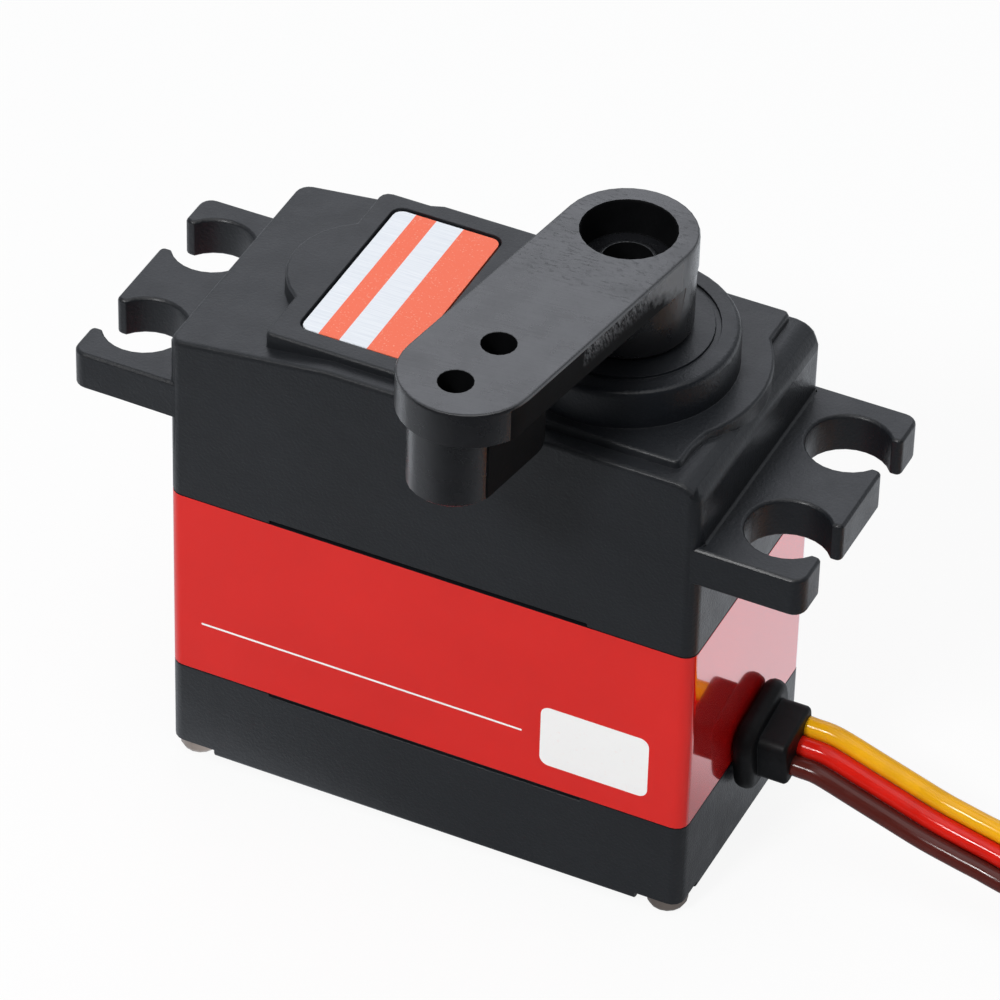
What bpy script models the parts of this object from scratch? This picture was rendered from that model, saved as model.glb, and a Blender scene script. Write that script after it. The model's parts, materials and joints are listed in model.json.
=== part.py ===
"""A hobby servo motor with its horn and three-wire lead, as an assembly of separate pieces.

X runs along the case with the output end at +X, -Y is the front, and z = 0 is the base.
Sizes are in millimetres and become metres when each object is made.
"""

import math

import bmesh
import bpy
from mathutils import Matrix
from mathutils import Vector

MM = 0.001

# The case.
CASE_L = 40.5
CASE_W = 20.6
CASE_R = 1.0
WALL = 1.5
SOFT = 0.4
SEAM = 0.06
LOWER_SPLIT_Z = 7.85
UPPER_SPLIT_Z = 23.6
TOP_Z = 38.6
DECK_T = 2.5
FLOOR_T = 1.5
LIP_GAP = 0.15
LIP_T = 0.8
LIP_H = 1.3
MOTOR_END_FALL = 1.55
OUTPUT_END_RUN = 2.25
OUTPUT_END_FALL = 1.85
PRY_H = 0.25
PRY_DEEP = 0.3
PRY_L = 24.5

# The raised plate, its label and the output boss.
PLATE_RISE = 0.65
PLATE_SOFT = 0.25
PLATE_EDGE = 0.9
PLATE_SIDE = 0.45
PLATE_LEFT = 3.35
PLATE_RIGHT = 2.3
PLATE_ARC_ROOM = 0.35
PLATE_BULGE_R = 5.85
LABEL_L = 8.15
LABEL_W = 15.25
LABEL_T = 0.3
LABEL_GAP = 0.2
LABEL_AWAY = 2.54
LABEL_DEEP = 0.5
BOSS_R = 8.05
BOSS_RISE = 3.0
BOSS_SOFT = 0.5
GROOVE_R = 6.42
GROOVE_W = 0.4
GROOVE_DEEP = 0.2

# The mounting ears.
EAR_OUT = 7.65
EAR_SIDE = 0.15
EAR_FILLET = 0.15
EAR_T = 3.15
EAR_Z = 30.18
SLOT_R = 3.03
SLOT_IN = 3.25
SLOT_Y = 5.2
SLOT_MOUTH = 3.5
SLOT_LIP_R = 0.4

# The case screws in their corner posts.
SCREW_R = 0.8
SCREW_EDGE = 1.62
SCREW_HEAD_R = 1.5
SCREW_PROUD = 0.6
SCREW_GAP = 0.2
PAD_DEEP = 0.65
PAD_X = 3.5
PAD_Y = 3.1
POST_X = 2.3
POST_Y = 2.1

# The drive: axes from the case ends, tooth counts, and the space left between pieces.
OUTPUT_FROM_END = 10.55
MOTOR_FROM_END = 10.25
WHEEL_ROOM = 0.42
FINE_TEETH = 35
MOTOR_TEETH = 8
FIRST_PINION_TEETH = 8
SECOND_PINION_TEETH = 9
COARSE_TEETH = 40
THIRD_PINION_TEETH = 11
COARSE_TO_FINE = 1.1
BACKLASH = 0.14
RUN_GAP = 0.1
FIT_GAP = 0.1
PIN_R = 0.75
ROOF_T = 1.7
ROOF_STEP = 1.7
BEARING_IN_R = 3.5
BEARING_OUT_R = 6.5
BALL_R = 0.8
BALLS = 8
BUSH_IN_R = 2.5
BUSH_OUT_R = 4.5
SENSOR_R = 4.9
SENSOR_H = 7.25
SENSOR_SHAFT_R = 1.3
BOARD_T = 1.0
DRIVER_L = 4.5
DRIVER_AWAY = 4.5
CHIP_ROOM = 1.8
CAPACITOR_R = 2.0
MOTOR_BOSS_R = 2.5
MOTOR_SCREW_R = 0.6
MOTOR_SCREW_HEAD_R = 1.2

# The output shaft and horn.
SPLINE_TEETH = 25
SPLINE_R = 2.95
SPLINE_DEEP = 0.2
SPLINE_H = 3.5
HORN_R = 4.85
HORN_REACH = 19.05
HORN_H = 7.6
HORN_ARM_T = 2.8
HORN_LIFT = 0.2
HORN_TURN = -8.9
HORN_SOFT = 0.25
HUB_SOFT = 0.35
SHAFT_STEP = 0.15
LINK_R = 1.22
LINK_FROM_TIP = 3.4
LINK_PITCH = 5.0
WELL_R = 3.3
WELL_LIP_R = 2.05
WELL_HOLE_R = 1.76
STUD_R = 3.2
STUD_H = 5.35

# The strain relief in the end wall.
CABLE_SLOT_W = 4.8
CABLE_SLOT_H = 4.0
FLANGE_W = 7.2
FLANGE_H = 6.1
FLANGE_T = 1.6
FLANGE_SOFT = 0.6
NECK_L = 2.2
NECK_W = 4.9
NECK_H = 4.1
NECK_SOFT = 0.3
GROMMET_ROLL = 9.0
GROMMET_UP = 0.65
GROMMET_SIDE = 1.1

# The lead.
WIRE_R = 0.62
WIRE_PITCH = 1.5
COIL_R = 14.5
COIL_STEP = 1.85
COIL_TURNS = 1
COIL_POINTS = 24
CLIMB_DIP = 0.75
COIL_AWAY = 34.0
COIL_SIDE = 3.0
TIE_T = 0.5
TIE_W = 2.6
PLUG_L = 14.0
PLUG_W = 7.62
PLUG_T = 2.54
PLUG_PITCH = 2.2
PLUG_BACK = 5.0
PLUG_AWAY = 18.5
PLUG_POCKET = 1.2

# Sizes that follow from the ones above.
HALF_L = CASE_L / 2
HALF_W = CASE_W / 2
PLATE_Z = TOP_Z + PLATE_RISE
BOSS_Z = PLATE_Z + BOSS_RISE
BASE_TOP = LOWER_SPLIT_Z - SEAM / 2
MIDDLE_LOW = LOWER_SPLIT_Z + SEAM / 2
DECK_Z = UPPER_SPLIT_Z - SEAM / 2
DECK_LOW = DECK_Z - DECK_T
COVER_LOW = UPPER_SPLIT_Z + SEAM / 2
ROOF_Z = TOP_Z - ROOF_T
ROOF_LOW_Z = ROOF_Z - ROOF_STEP
SCREW_X = HALF_L - SCREW_EDGE
SCREW_Y = HALF_W - SCREW_EDGE
FIRST_WHEEL_TEETH = FINE_TEETH - MOTOR_TEETH
SECOND_WHEEL_TEETH = FINE_TEETH - FIRST_PINION_TEETH
THIRD_WHEEL_TEETH = FINE_TEETH - SECOND_PINION_TEETH
OUTPUT_TEETH = COARSE_TEETH - THIRD_PINION_TEETH
PITCHES = (FINE_TEETH + COARSE_TO_FINE * COARSE_TEETH) / 2
LONG_FIT = (CASE_L - OUTPUT_FROM_END - MOTOR_FROM_END) / (0.9975 * PITCHES)
WIDE_FIT = (HALF_W - WALL - WHEEL_ROOM) / (COARSE_TO_FINE * (OUTPUT_TEETH / 2 + 0.75))
FINE = min(LONG_FIT, WIDE_FIT)
COARSE = COARSE_TO_FINE * FINE
NEAR_SPAN = FINE * FINE_TEETH / 2
FAR_SPAN = COARSE * COARSE_TEETH / 2
OUT_X = HALF_L - OUTPUT_FROM_END
MOTOR_X = OUT_X - 0.9975 * (NEAR_SPAN + FAR_SPAN)
BOTH = OUT_X - MOTOR_X
IDLE_DX = (NEAR_SPAN ** 2 - FAR_SPAN ** 2 + BOTH ** 2) / (2 * BOTH)
IDLE_X = MOTOR_X + IDLE_DX
IDLE_Y = math.sqrt(max(NEAR_SPAN ** 2 - IDLE_DX ** 2, 0.0))
OUT = (OUT_X, 0.0)
MOTOR = (MOTOR_X, 0.0)
IDLE = (IDLE_X, IDLE_Y)
LEVEL = (ROOF_Z - DECK_Z) / 13.4
HORN_LOW = BOSS_Z + HORN_LIFT
HORN_TOP = HORN_LOW + HORN_H
GROMMET_Z = LOWER_SPLIT_Z + GROMMET_UP
EAR_W = CASE_W - 2 * EAR_SIDE
SHAFT_R = BEARING_IN_R - FIT_GAP
LINK_FAR = HORN_REACH + HORN_R - LINK_FROM_TIP
LINK_NEAR = LINK_FAR - LINK_PITCH
SPLINE_LOW = HORN_LOW - SHAFT_STEP
SEAT_Z = SPLINE_LOW + SPLINE_H + 0.3
STAND_Z = -SCREW_PROUD
INSIDE = WALL + LIP_GAP + LIP_T
MOTOR_R = min(HALF_W, HALF_L + MOTOR_X) - INSIDE - 0.25


def clear_scene():
    for obj in list(bpy.data.objects):
        bpy.data.objects.remove(obj)


clear_scene()


def material(name, color, rough, metal=0.0):
    found = bpy.data.materials.new(name)
    found.use_nodes = True
    shader = found.node_tree.nodes["Principled BSDF"]
    shader.inputs["Base Color"].default_value = (*color, 1.0)
    shader.inputs["Roughness"].default_value = rough
    shader.inputs["Metallic"].default_value = metal
    found.diffuse_color = (*color, 1.0)
    return found


def make(name, bm, surface=None, origin=(0.0, 0.0, 0.0)):
    """Object from a mesh in millimetres, with its own origin."""
    bmesh.ops.translate(bm, verts=bm.verts, vec=-Vector(origin))
    bmesh.ops.scale(bm, verts=bm.verts, vec=(MM, MM, MM))
    mesh = bpy.data.meshes.new(name)
    bm.to_mesh(mesh)
    bm.free()
    obj = bpy.data.objects.new(name, mesh)
    obj.location = Vector(origin) * MM
    bpy.context.scene.collection.objects.link(obj)
    if surface:
        mesh.materials.append(surface)
    return obj


def combine(obj, name, bm, operation):
    """Adds or takes away a hidden helper shape with an exact Boolean."""
    tool = make(name, bm)
    tool.hide_render = True
    tool.display_type = "WIRE"
    modifier = obj.modifiers.new(name, "BOOLEAN")
    modifier.operation = operation
    modifier.solver = "EXACT"
    modifier.object = tool


def cut(obj, name, bm):
    combine(obj, name, bm, "DIFFERENCE")


def join(obj, name, bm):
    combine(obj, name, bm, "UNION")


def group(parts):
    """One mesh from several that don't touch."""
    whole = bmesh.new()
    for bm in parts:
        held = bpy.data.meshes.new("held")
        bm.to_mesh(held)
        bm.free()
        whole.from_mesh(held)
        bpy.data.meshes.remove(held)
    return whole


def circle(r, n, centre=(0.0, 0.0), turn=0.0):
    angles = [turn + 2 * math.pi * i / n for i in range(n)]
    return [(centre[0] + r * math.cos(a), centre[1] + r * math.sin(a)) for a in angles]


def arc(centre, r, start, end, n):
    """Points on an arc, with both ends, in degrees."""
    angles = [math.radians(start + (end - start) * i / n) for i in range(n + 1)]
    return [(centre[0] + r * math.cos(a), centre[1] + r * math.sin(a)) for a in angles]


def rounded(x0, x1, y0, y1, r, n=4):
    corners = (((x1 - r, y0 + r), -90), ((x1 - r, y1 - r), 0), ((x0 + r, y1 - r), 90), ((x0 + r, y0 + r), 180))
    return [p for centre, a in corners for p in arc(centre, r, a, a + 90, n)]


def inset(loop, by):
    """The loop moved inwards along its mitred corners."""
    moved = []
    for i, here in enumerate(loop):
        before = Vector(here) - Vector(loop[i - 1])
        after = Vector(loop[(i + 1) % len(loop)]) - Vector(here)
        first = Vector((-before.y, before.x)).normalized()
        second = Vector((-after.y, after.x)).normalized()
        middle = (first + second).normalized()
        step = by / max(middle.dot(first), 0.5)
        moved.append((here[0] + middle.x * step, here[1] + middle.y * step))
    return moved


def at(loop, z):
    return [(x, y, z) for x, y in loop]


def along_x(loop, x):
    return [(x, y, z) for y, z in loop]


def along_y(loop, y):
    return [(x, y, z) for x, z in loop]


def edges_of(bm, row):
    pairs = [(row[i - 1], row[i]) for i in range(len(row))]
    return [bm.edges.get(pair) or bm.edges.new(pair) for pair in pairs]


def solid(path, ring=False):
    """Closed body through loops of points: equal loops get walls between them, others a flat fill."""
    bm = bmesh.new()
    rows = [[bm.verts.new(p) for p in loop] for loop in path]
    pairs = list(zip(rows, rows[1:]))
    if ring:
        pairs.append((rows[-1], rows[0]))
    for low, high in pairs:
        if len(low) == len(high):
            for i in range(len(low)):
                bm.faces.new((low[i - 1], low[i], high[i], high[i - 1]))
        else:
            border = edges_of(bm, low) + edges_of(bm, high)
            bmesh.ops.triangle_fill(bm, use_beauty=True, use_dissolve=False, edges=border)
    if not ring:
        bm.faces.new(rows[0])
        bm.faces.new(rows[-1])
    bmesh.ops.recalc_face_normals(bm, faces=bm.faces)
    return bm


def prism(loop, low, high):
    return solid([at(loop, low), at(loop, high)])


def box(x0, x1, y0, y1, z0, z1):
    return prism([(x0, y0), (x1, y0), (x1, y1), (x0, y1)], z0, z1)


def soft_box(x0, x1, y0, y1, z0, z1, soft):
    loop = rounded(x0, x1, y0, y1, soft, 2)
    small = inset(loop, soft * 0.6)
    return solid([at(small, z0), at(loop, z0 + soft), at(loop, z1 - soft), at(small, z1)])


def lathe(profile, n, centre=(0.0, 0.0), ring=False):
    """Body turned about a vertical axis from (radius, height) points."""
    return solid([at(circle(r, n, centre), z) for r, z in profile], ring)


def disc(r, low, high, n, centre):
    return lathe([(r, low), (r, high)], n, centre)


def four(x, y):
    return [(x, y), (-x, y), (-x, -y), (x, -y)]


def slice_off(bm, point, normal):
    """Takes away what lies beyond a plane and closes the cut."""
    everything = bm.verts[:] + bm.edges[:] + bm.faces[:]
    made = bmesh.ops.bisect_plane(bm, geom=everything, plane_co=point, plane_no=normal, clear_outer=True)
    border = [item for item in made["geom_cut"] if isinstance(item, bmesh.types.BMEdge)]
    bmesh.ops.holes_fill(bm, edges=border, sides=0)


def involute(angle):
    return math.tan(angle) - angle


def gear(teeth, module, centre, turn, tip, root=1.2):
    """Outline of a spur gear with one tooth centred on the angle turn."""
    pitch_r = teeth * module / 2
    base_r = pitch_r * math.cos(math.radians(20))
    half = math.pi / (2 * teeth) - BACKLASH / (2 * pitch_r) + involute(math.radians(20))
    flank = []
    radii = [pitch_r - root * module, pitch_r, pitch_r + tip * module]
    if teeth > 20:
        radii.remove(pitch_r)
    for r in radii:
        pressure = math.acos(min(base_r / r, 1.0))
        flank.append((r, half - involute(pressure)))
    points = []
    for k in range(teeth):
        middle = turn + 2 * math.pi * k / teeth
        points += [(r, middle - side) for r, side in flank]
        points += [(r, middle + side) for r, side in reversed(flank)]
    return [(centre[0] + r * math.cos(a), centre[1] + r * math.sin(a)) for r, a in points]


def meshed(teeth_a, centre_a, teeth_b, centre_b, module):
    """Outlines of two gears in mesh: a tooth of the first lies in a gap of the second."""
    toward = math.atan2(centre_b[1] - centre_a[1], centre_b[0] - centre_a[0])
    back = toward + math.pi + math.pi / teeth_b
    return gear(teeth_a, module, centre_a, toward, 0.95), gear(teeth_b, module, centre_b, back, 0.75)


def spline(r, turn=0.0):
    """Zigzag outline of the splined shaft end."""
    points = []
    for k in range(2 * SPLINE_TEETH):
        angle = turn + math.pi * k / SPLINE_TEETH
        reach = r - SPLINE_DEEP * (k % 2)
        points.append((OUT_X + reach * math.cos(angle), reach * math.sin(angle)))
    return points


def hollow_loop(grow):
    """Plan of the hollow inside the case, notched at its corners for the screw posts."""
    x = HALF_L - WALL + grow
    y = HALF_W - WALL + grow
    px = SCREW_X - POST_X + grow
    py = SCREW_Y - POST_Y + grow
    quarter = [(x, -py), (x, py), (px, py), (px, y), (-px, y), (-px, py)]
    return quarter + [(-a, -b) for a, b in quarter]


def case_loop():
    return rounded(-HALF_L, HALF_L, -HALF_W, HALF_W, CASE_R)


def screw_holes(r, low, high):
    return group([disc(r, low, high, 12, spot) for spot in four(SCREW_X, SCREW_Y)])


def pry_notches(low, high):
    """Shallow slots along a seam, front and back, where the case is prised open."""
    half = PRY_L / 2
    inner = HALF_W - PRY_DEEP
    outer = HALF_W + 1
    return group([box(-half, half, -outer, -inner, low, high), box(-half, half, inner, outer, low, high)])


def cable_slot(low, high):
    y0 = GROMMET_SIDE - CABLE_SLOT_W / 2
    return box(HALF_L - WALL - 3, HALF_L + 1, y0, y0 + CABLE_SLOT_W, low, high)


# Each surface of the servo.
BLACK = material("black_plastic", (0.035, 0.037, 0.042), 0.5)
RED = material("red_plastic", (0.6, 0.035, 0.03), 0.3)
FOIL = material("label_foil", (0.85, 0.87, 0.9), 0.35, 0.3)
STEEL = material("steel", (0.6, 0.6, 0.62), 0.3, 1.0)
BRASS = material("brass", (0.75, 0.55, 0.25), 0.3, 1.0)
RUBBER = material("rubber", (0.02, 0.021, 0.023), 0.7)
HORN_BLACK = material("horn_plastic", (0.05, 0.05, 0.055), 0.4)
WHITE_GEAR = material("gear_nylon", (0.8, 0.8, 0.76), 0.45)
BOARD = material("board_green", (0.02, 0.2, 0.07), 0.5)
CHIP = material("chip_black", (0.03, 0.03, 0.03), 0.55)
BROWN_WIRE = material("wire_brown", (0.1, 0.02, 0.014), 0.45)
RED_WIRE = material("wire_red", (0.7, 0.015, 0.01), 0.4)
YELLOW_WIRE = material("wire_yellow", (0.85, 0.45, 0.015), 0.4)


def plate_loop():
    """Plan of the raised plate: straight edges with a bulge at each end and a small step behind."""
    left = MOTOR_X - PLATE_LEFT
    right = HALF_L - PLATE_RIGHT
    front = PLATE_SIDE - HALF_W + PLATE_EDGE
    back = PLATE_SIDE + HALF_W - PLATE_EDGE
    arc_r = OUTPUT_FROM_END - PLATE_ARC_ROOM
    bulge = math.degrees(math.acos(PLATE_LEFT / PLATE_BULGE_R))
    sweep = math.degrees(math.acos((right - OUT_X) / arc_r))
    dip = arc_r * math.sin(math.radians(sweep))
    points = arc((left + 0.4, front + 0.4), 0.4, 180, 270, 2)
    points += arc((right - 0.5, front + 0.5), 0.5, 270, 360, 3)
    points += [(right, PLATE_SIDE - dip - 1.4), (right + 0.12, PLATE_SIDE - dip - 0.45)]
    points += arc((OUT_X, PLATE_SIDE), arc_r, 3 - sweep, sweep, 11)
    points += [(right, PLATE_SIDE + dip + 0.35)]
    points += arc((right - 0.5, back - 0.5), 0.5, 0, 90, 3)
    points += [(MOTOR_X + 1.3, back), (MOTOR_X + 0.4, back - 0.35)]
    points += arc((left + 0.8, back - 1.15), 0.8, 90, 180, 3)
    points += arc((MOTOR_X, PLATE_SIDE), PLATE_BULGE_R, 180 - bulge, 180 + bulge, 9)
    return points


def ear_loop():
    """Plan of the ear plate, which runs right through the case, with its four keyhole slots."""
    end = HALF_L + EAR_OUT
    side = EAR_W / 2
    x = end - SLOT_IN
    mouth = SLOT_MOUTH / 2
    open_angle = math.degrees(math.asin(mouth / SLOT_R))
    lip = min(SLOT_LIP_R, SLOT_IN - math.sqrt(SLOT_R ** 2 - mouth ** 2) - 0.02)
    points = arc((end - 1, -side + 1), 1, -90, 0, 5)
    for y in (-SLOT_Y, SLOT_Y):
        points += arc((end - lip, y - mouth - lip), lip, 0, 90, 3)
        points += arc((x, y), SLOT_R, -open_angle, open_angle - 360, 22)
        points += arc((end - lip, y + mouth + lip), lip, -90, 0, 3)
    points += arc((end - 1, side - 1), 1, 0, 90, 5)
    return points + [(-a, -b) for a, b in points]


def ear_fillets():
    """Small wedges where the ears leave the end walls, above and below."""
    wall = HALF_L - 0.1
    out = HALF_L + EAR_FILLET
    half = HALF_W - CASE_R
    parts = []
    for ear, up in ((EAR_Z, -1), (EAR_Z + EAR_T, 1)):
        root = ear - 0.1 * up
        rise = ear + EAR_FILLET * up
        for side in (-1, 1):
            corners = [(wall, root), (out, root), (out, ear), (HALF_L, rise), (wall, rise)]
            loop = [(side * x, z) for x, z in corners]
            parts.append(solid([along_y(loop, -half), along_y(loop, half)]))
    return group(parts)


def cover_block():
    """The upper case as a plain block, sloped at the motor end and rounded off at the output end."""
    bm = prism(case_loop(), COVER_LOW, TOP_Z)
    start = MOTOR_X + 2
    run = start + HALF_L
    slice_off(bm, (start, 0, TOP_Z), Vector((-MOTOR_END_FALL, 0, run)))
    for angle in (15, 35, 55, 75):
        across, down = math.sin(math.radians(angle)), 1 - math.cos(math.radians(angle))
        spot = (HALF_L - OUTPUT_END_RUN * (1 - across), 0, TOP_Z - OUTPUT_END_FALL * down)
        slice_off(bm, spot, Vector((across / OUTPUT_END_RUN, 0, (1 - down) / OUTPUT_END_FALL)))
    bm.edges.ensure_lookup_table()
    rim = []
    for edge in bm.edges:
        high = min(v.co.z for v in edge.verts) > TOP_Z - 3
        if high and edge.calc_face_angle(0.0) > math.radians(45):
            rim.append(edge)
    bmesh.ops.bevel(bm, geom=rim, offset=SOFT, segments=2, profile=0.5, affect="EDGES")
    return bm


def gear_cover():
    cover = make("gear_cover", cover_block(), BLACK)
    ears = ear_loop()
    soft = 0.18
    levels = [(soft, 0), (0, soft), (0, EAR_T - soft), (soft, EAR_T)]
    join(cover, "ear_plate", solid([at(inset(ears, by), EAR_Z + up) for by, up in levels]))
    join(cover, "ear_fillets", ear_fillets())
    plate = plate_loop()
    levels = [(0, -3.3), (0, -PLATE_SOFT), (0.08, -0.08), (PLATE_SOFT, 0)]
    join(cover, "top_plate", solid([at(inset(plate, by), PLATE_Z + up) for by, up in levels]))
    groove_out = GROOVE_R + GROOVE_W / 2
    groove_in = GROOVE_R - GROOVE_W / 2
    profile = [(BOSS_R, TOP_Z - 0.5), (BOSS_R, BOSS_Z - BOSS_SOFT), (BOSS_R - 0.15, BOSS_Z - 0.15)]
    profile += [(BOSS_R - BOSS_SOFT, BOSS_Z), (groove_out, BOSS_Z), (groove_out, BOSS_Z - GROOVE_DEEP)]
    profile += [(groove_in, BOSS_Z - GROOVE_DEEP), (groove_in, BOSS_Z)]
    join(cover, "output_boss", lathe(profile, 48, OUT))
    cut(cover, "cover_hollow", prism(hollow_loop(0), COVER_LOW - 1, ROOF_LOW_Z))
    high_part = [(max(x, MOTOR_X + 1.5), y) for x, y in hollow_loop(0)]
    high_part = [p for i, p in enumerate(high_part) if p != high_part[i - 1]]
    corner = MOTOR_X + 1.5
    tall = [p for p in high_part if p[0] > corner]
    tall += [(corner, HALF_W - WALL), (corner, -HALF_W + WALL)]
    tall.sort(key=lambda p: math.atan2(p[1], p[0] - 5))
    cut(cover, "gear_hollow", prism(tall, ROOF_LOW_Z - 1, ROOF_Z))
    seat_r = BEARING_OUT_R + FIT_GAP
    hole_r = SHAFT_R + 0.9
    bore = [(seat_r, ROOF_Z - 1), (seat_r, BOSS_Z - 1.25), (hole_r, BOSS_Z - 1.25), (hole_r, BOSS_Z + 1)]
    cut(cover, "bearing_bore", lathe(bore, 32, OUT))
    pins = [disc(PIN_R + FIT_GAP, ROOF_Z - 1, ROOF_Z + 1.3, 16, IDLE)]
    pins += [disc(PIN_R + FIT_GAP, ROOF_LOW_Z - 1, ROOF_LOW_Z + 2, 16, MOTOR)]
    pins += [disc(SCREW_R + FIT_GAP, COVER_LOW - 1, COVER_LOW + 6.5, 12, s) for s in four(SCREW_X, SCREW_Y)]
    cut(cover, "pin_and_screw_holes", group(pins))
    cut(cover, "label_pocket", prism(label_loop(LABEL_GAP), PLATE_Z - LABEL_DEEP, PLATE_Z + 1))
    cut(cover, "cover_pry_slots", pry_notches(COVER_LOW - 1, COVER_LOW + PRY_H))


def label_loop(grow):
    x = MOTOR_X + LABEL_AWAY
    half_x = LABEL_L / 2 + grow
    half_y = LABEL_W / 2 + grow
    return rounded(x - half_x, x + half_x, PLATE_SIDE - half_y, PLATE_SIDE + half_y, 0.7 + grow)


def label_plate():
    low = PLATE_Z - LABEL_DEEP + 0.05
    make("label_plate", prism(label_loop(0), low, low + LABEL_T), FOIL)


def middle_case():
    middle = make("middle_case", prism(case_loop(), MIDDLE_LOW, DECK_Z), RED)
    cut(middle, "middle_hollow", prism(hollow_loop(0), MIDDLE_LOW - 1, DECK_LOW))
    cut(middle, "middle_screw_holes", screw_holes(SCREW_R + SCREW_GAP, MIDDLE_LOW - 1, DECK_Z + 1))
    cut(middle, "middle_cable_slot", cable_slot(MIDDLE_LOW - 1, GROMMET_Z + CABLE_SLOT_H / 2))
    ledge_r = BUSH_OUT_R - 0.6
    seat_r = BUSH_OUT_R + FIT_GAP
    ledge = DECK_LOW + 0.5
    seat = [(ledge_r, DECK_LOW - 1), (ledge_r, ledge), (seat_r, ledge), (seat_r, DECK_Z + 1)]
    holes = [lathe(seat, 24, OUT), disc(MOTOR_BOSS_R + 0.2, DECK_LOW - 1, DECK_Z + 1, 20, MOTOR)]
    holes += [disc(PIN_R + FIT_GAP, DECK_Z - 1.8, DECK_Z + 1, 16, IDLE)]
    holes += [disc(MOTOR_SCREW_R + 0.15, DECK_LOW - 1, DECK_Z + 1, 10, spot) for spot in motor_screw_spots()]
    cut(middle, "deck_holes", group(holes))


def bottom_cover():
    outline = case_loop()
    levels = [(SOFT, 0), (SOFT * 0.3, SOFT * 0.3), (0, SOFT), (0, BASE_TOP)]
    base = make("bottom_cover", solid([at(inset(outline, by), z) for by, z in levels]), BLACK)
    join(base, "locating_lip", prism(hollow_loop(-LIP_GAP), BASE_TOP - 1.5, BASE_TOP + LIP_H))
    cut(base, "base_hollow", prism(hollow_loop(-LIP_GAP - LIP_T), FLOOR_T, BASE_TOP + LIP_H + 1))
    cut(base, "base_screw_holes", screw_holes(SCREW_R + SCREW_GAP, -1, BASE_TOP + 1))
    pads = []
    for x, y in four(1, 1):
        x_pair = sorted((x * (HALF_L - PAD_X), x * (HALF_L + 1)))
        y_pair = sorted((y * (HALF_W - PAD_Y), y * (HALF_W + 1)))
        pads.append(box(*x_pair, *y_pair, -1, PAD_DEEP))
    cut(base, "corner_pads", group(pads))
    cut(base, "base_cable_slot", cable_slot(GROMMET_Z - CABLE_SLOT_H / 2, BASE_TOP + LIP_H + 1))
    cut(base, "base_pry_slots", pry_notches(BASE_TOP - PRY_H, BASE_TOP + 1))


def cross(centre, reach, width, low, high):
    """Cross-shaped driver recess."""
    x, y = centre
    arm = [(width, -reach), (width, -width), (reach, -width)]
    loop = [(x + a, y + b) for a, b in arm]
    for _ in range(3):
        arm = [(-b, a) for a, b in arm]
        loop += [(x + a, y + b) for a, b in arm]
    return prism(loop, low, high)


def case_screws():
    tip = COVER_LOW + 5.5
    neck = PAD_DEEP - 0.1
    for i, spot in enumerate(four(SCREW_X, SCREW_Y)):
        profile = [(SCREW_HEAD_R * 0.6, STAND_Z), (SCREW_HEAD_R * 0.88, STAND_Z + 0.2)]
        profile += [(SCREW_HEAD_R, STAND_Z + 0.55), (SCREW_HEAD_R, neck)]
        profile += [(SCREW_R, neck), (SCREW_R, tip), (SCREW_R * 0.4, tip + 0.7)]
        screw = make(f"case_screw_{i + 1}", lathe(profile, 16, spot), STEEL)
        cut(screw, f"case_screw_recess_{i + 1}", cross(spot, 0.75, 0.2, STAND_Z - 1, STAND_Z + 0.5))


def motor_screw_spots():
    reach = 0.73 * MOTOR_R
    return [(MOTOR_X, reach), (MOTOR_X, -reach)]


def motor_screws():
    for name, spot in zip("ab", motor_screw_spots()):
        r = MOTOR_SCREW_R
        head_r = MOTOR_SCREW_HEAD_R
        profile = [(r - 0.2, DECK_LOW - 2.2), (r, DECK_LOW - 1.8), (r, DECK_Z + FIT_GAP)]
        profile += [(head_r, DECK_Z + FIT_GAP), (head_r, DECK_Z + 0.6), (head_r - 0.3, DECK_Z + 0.9)]
        screw = make(f"motor_screw_{name}", lathe(profile, 10, spot), STEEL)
        cut(screw, f"motor_screw_recess_{name}", cross(spot, 0.6, 0.15, DECK_Z + 0.5, DECK_Z + 2))


def motor():
    can_r = MOTOR_R
    can_low = FLOOR_T + 4.4
    can_top = DECK_LOW - 0.2
    profile = [(can_r - 0.4, can_low), (can_r, can_low + 0.4), (can_r, can_top - 0.6), (can_r - 0.6, can_top)]
    shaft_bore = PIN_R + 2 * RUN_GAP
    profile += [(MOTOR_BOSS_R, can_top), (MOTOR_BOSS_R, DECK_LOW + 1)]
    profile += [(shaft_bore, DECK_LOW + 1), (shaft_bore, can_low + 2)]
    can = make("motor_can", lathe(profile, 28, MOTOR), STEEL)
    screw_bore = MOTOR_SCREW_R + 0.15
    holes = [disc(screw_bore, can_top - 2.5, can_top + 1, 10, spot) for spot in motor_screw_spots()]
    cut(can, "motor_screw_threads", group(holes))
    cap_low = FLOOR_T + 2.7
    profile = [(can_r - 1.2, cap_low), (can_r - 0.8, cap_low + 0.4), (can_r - 0.8, can_low - FIT_GAP)]
    make("motor_end_cap", lathe(profile, 24, MOTOR), WHITE_GEAR)
    for name, side in (("a", 1), ("b", -1)):
        y = 0.55 * MOTOR_R * side
        blade = box(MOTOR_X - 0.9, MOTOR_X + 0.9, y - 0.25, y + 0.25, board_top() + FIT_GAP, cap_low - FIT_GAP)
        make(f"motor_terminal_{name}", blade, BRASS)
    axis = (MOTOR_X, 0.0, DECK_Z)
    shaft = [(0.55, can_low + 2.3), (PIN_R, can_low + 2.5), (PIN_R, level(3.0)), (PIN_R - 0.2, level(3.2))]
    make("motor_shaft", lathe(shaft, 16, MOTOR), STEEL, axis)


def level(steps):
    """Height above the deck, where the whole gear space is 13.4 steps tall."""
    return DECK_Z + steps * LEVEL


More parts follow.
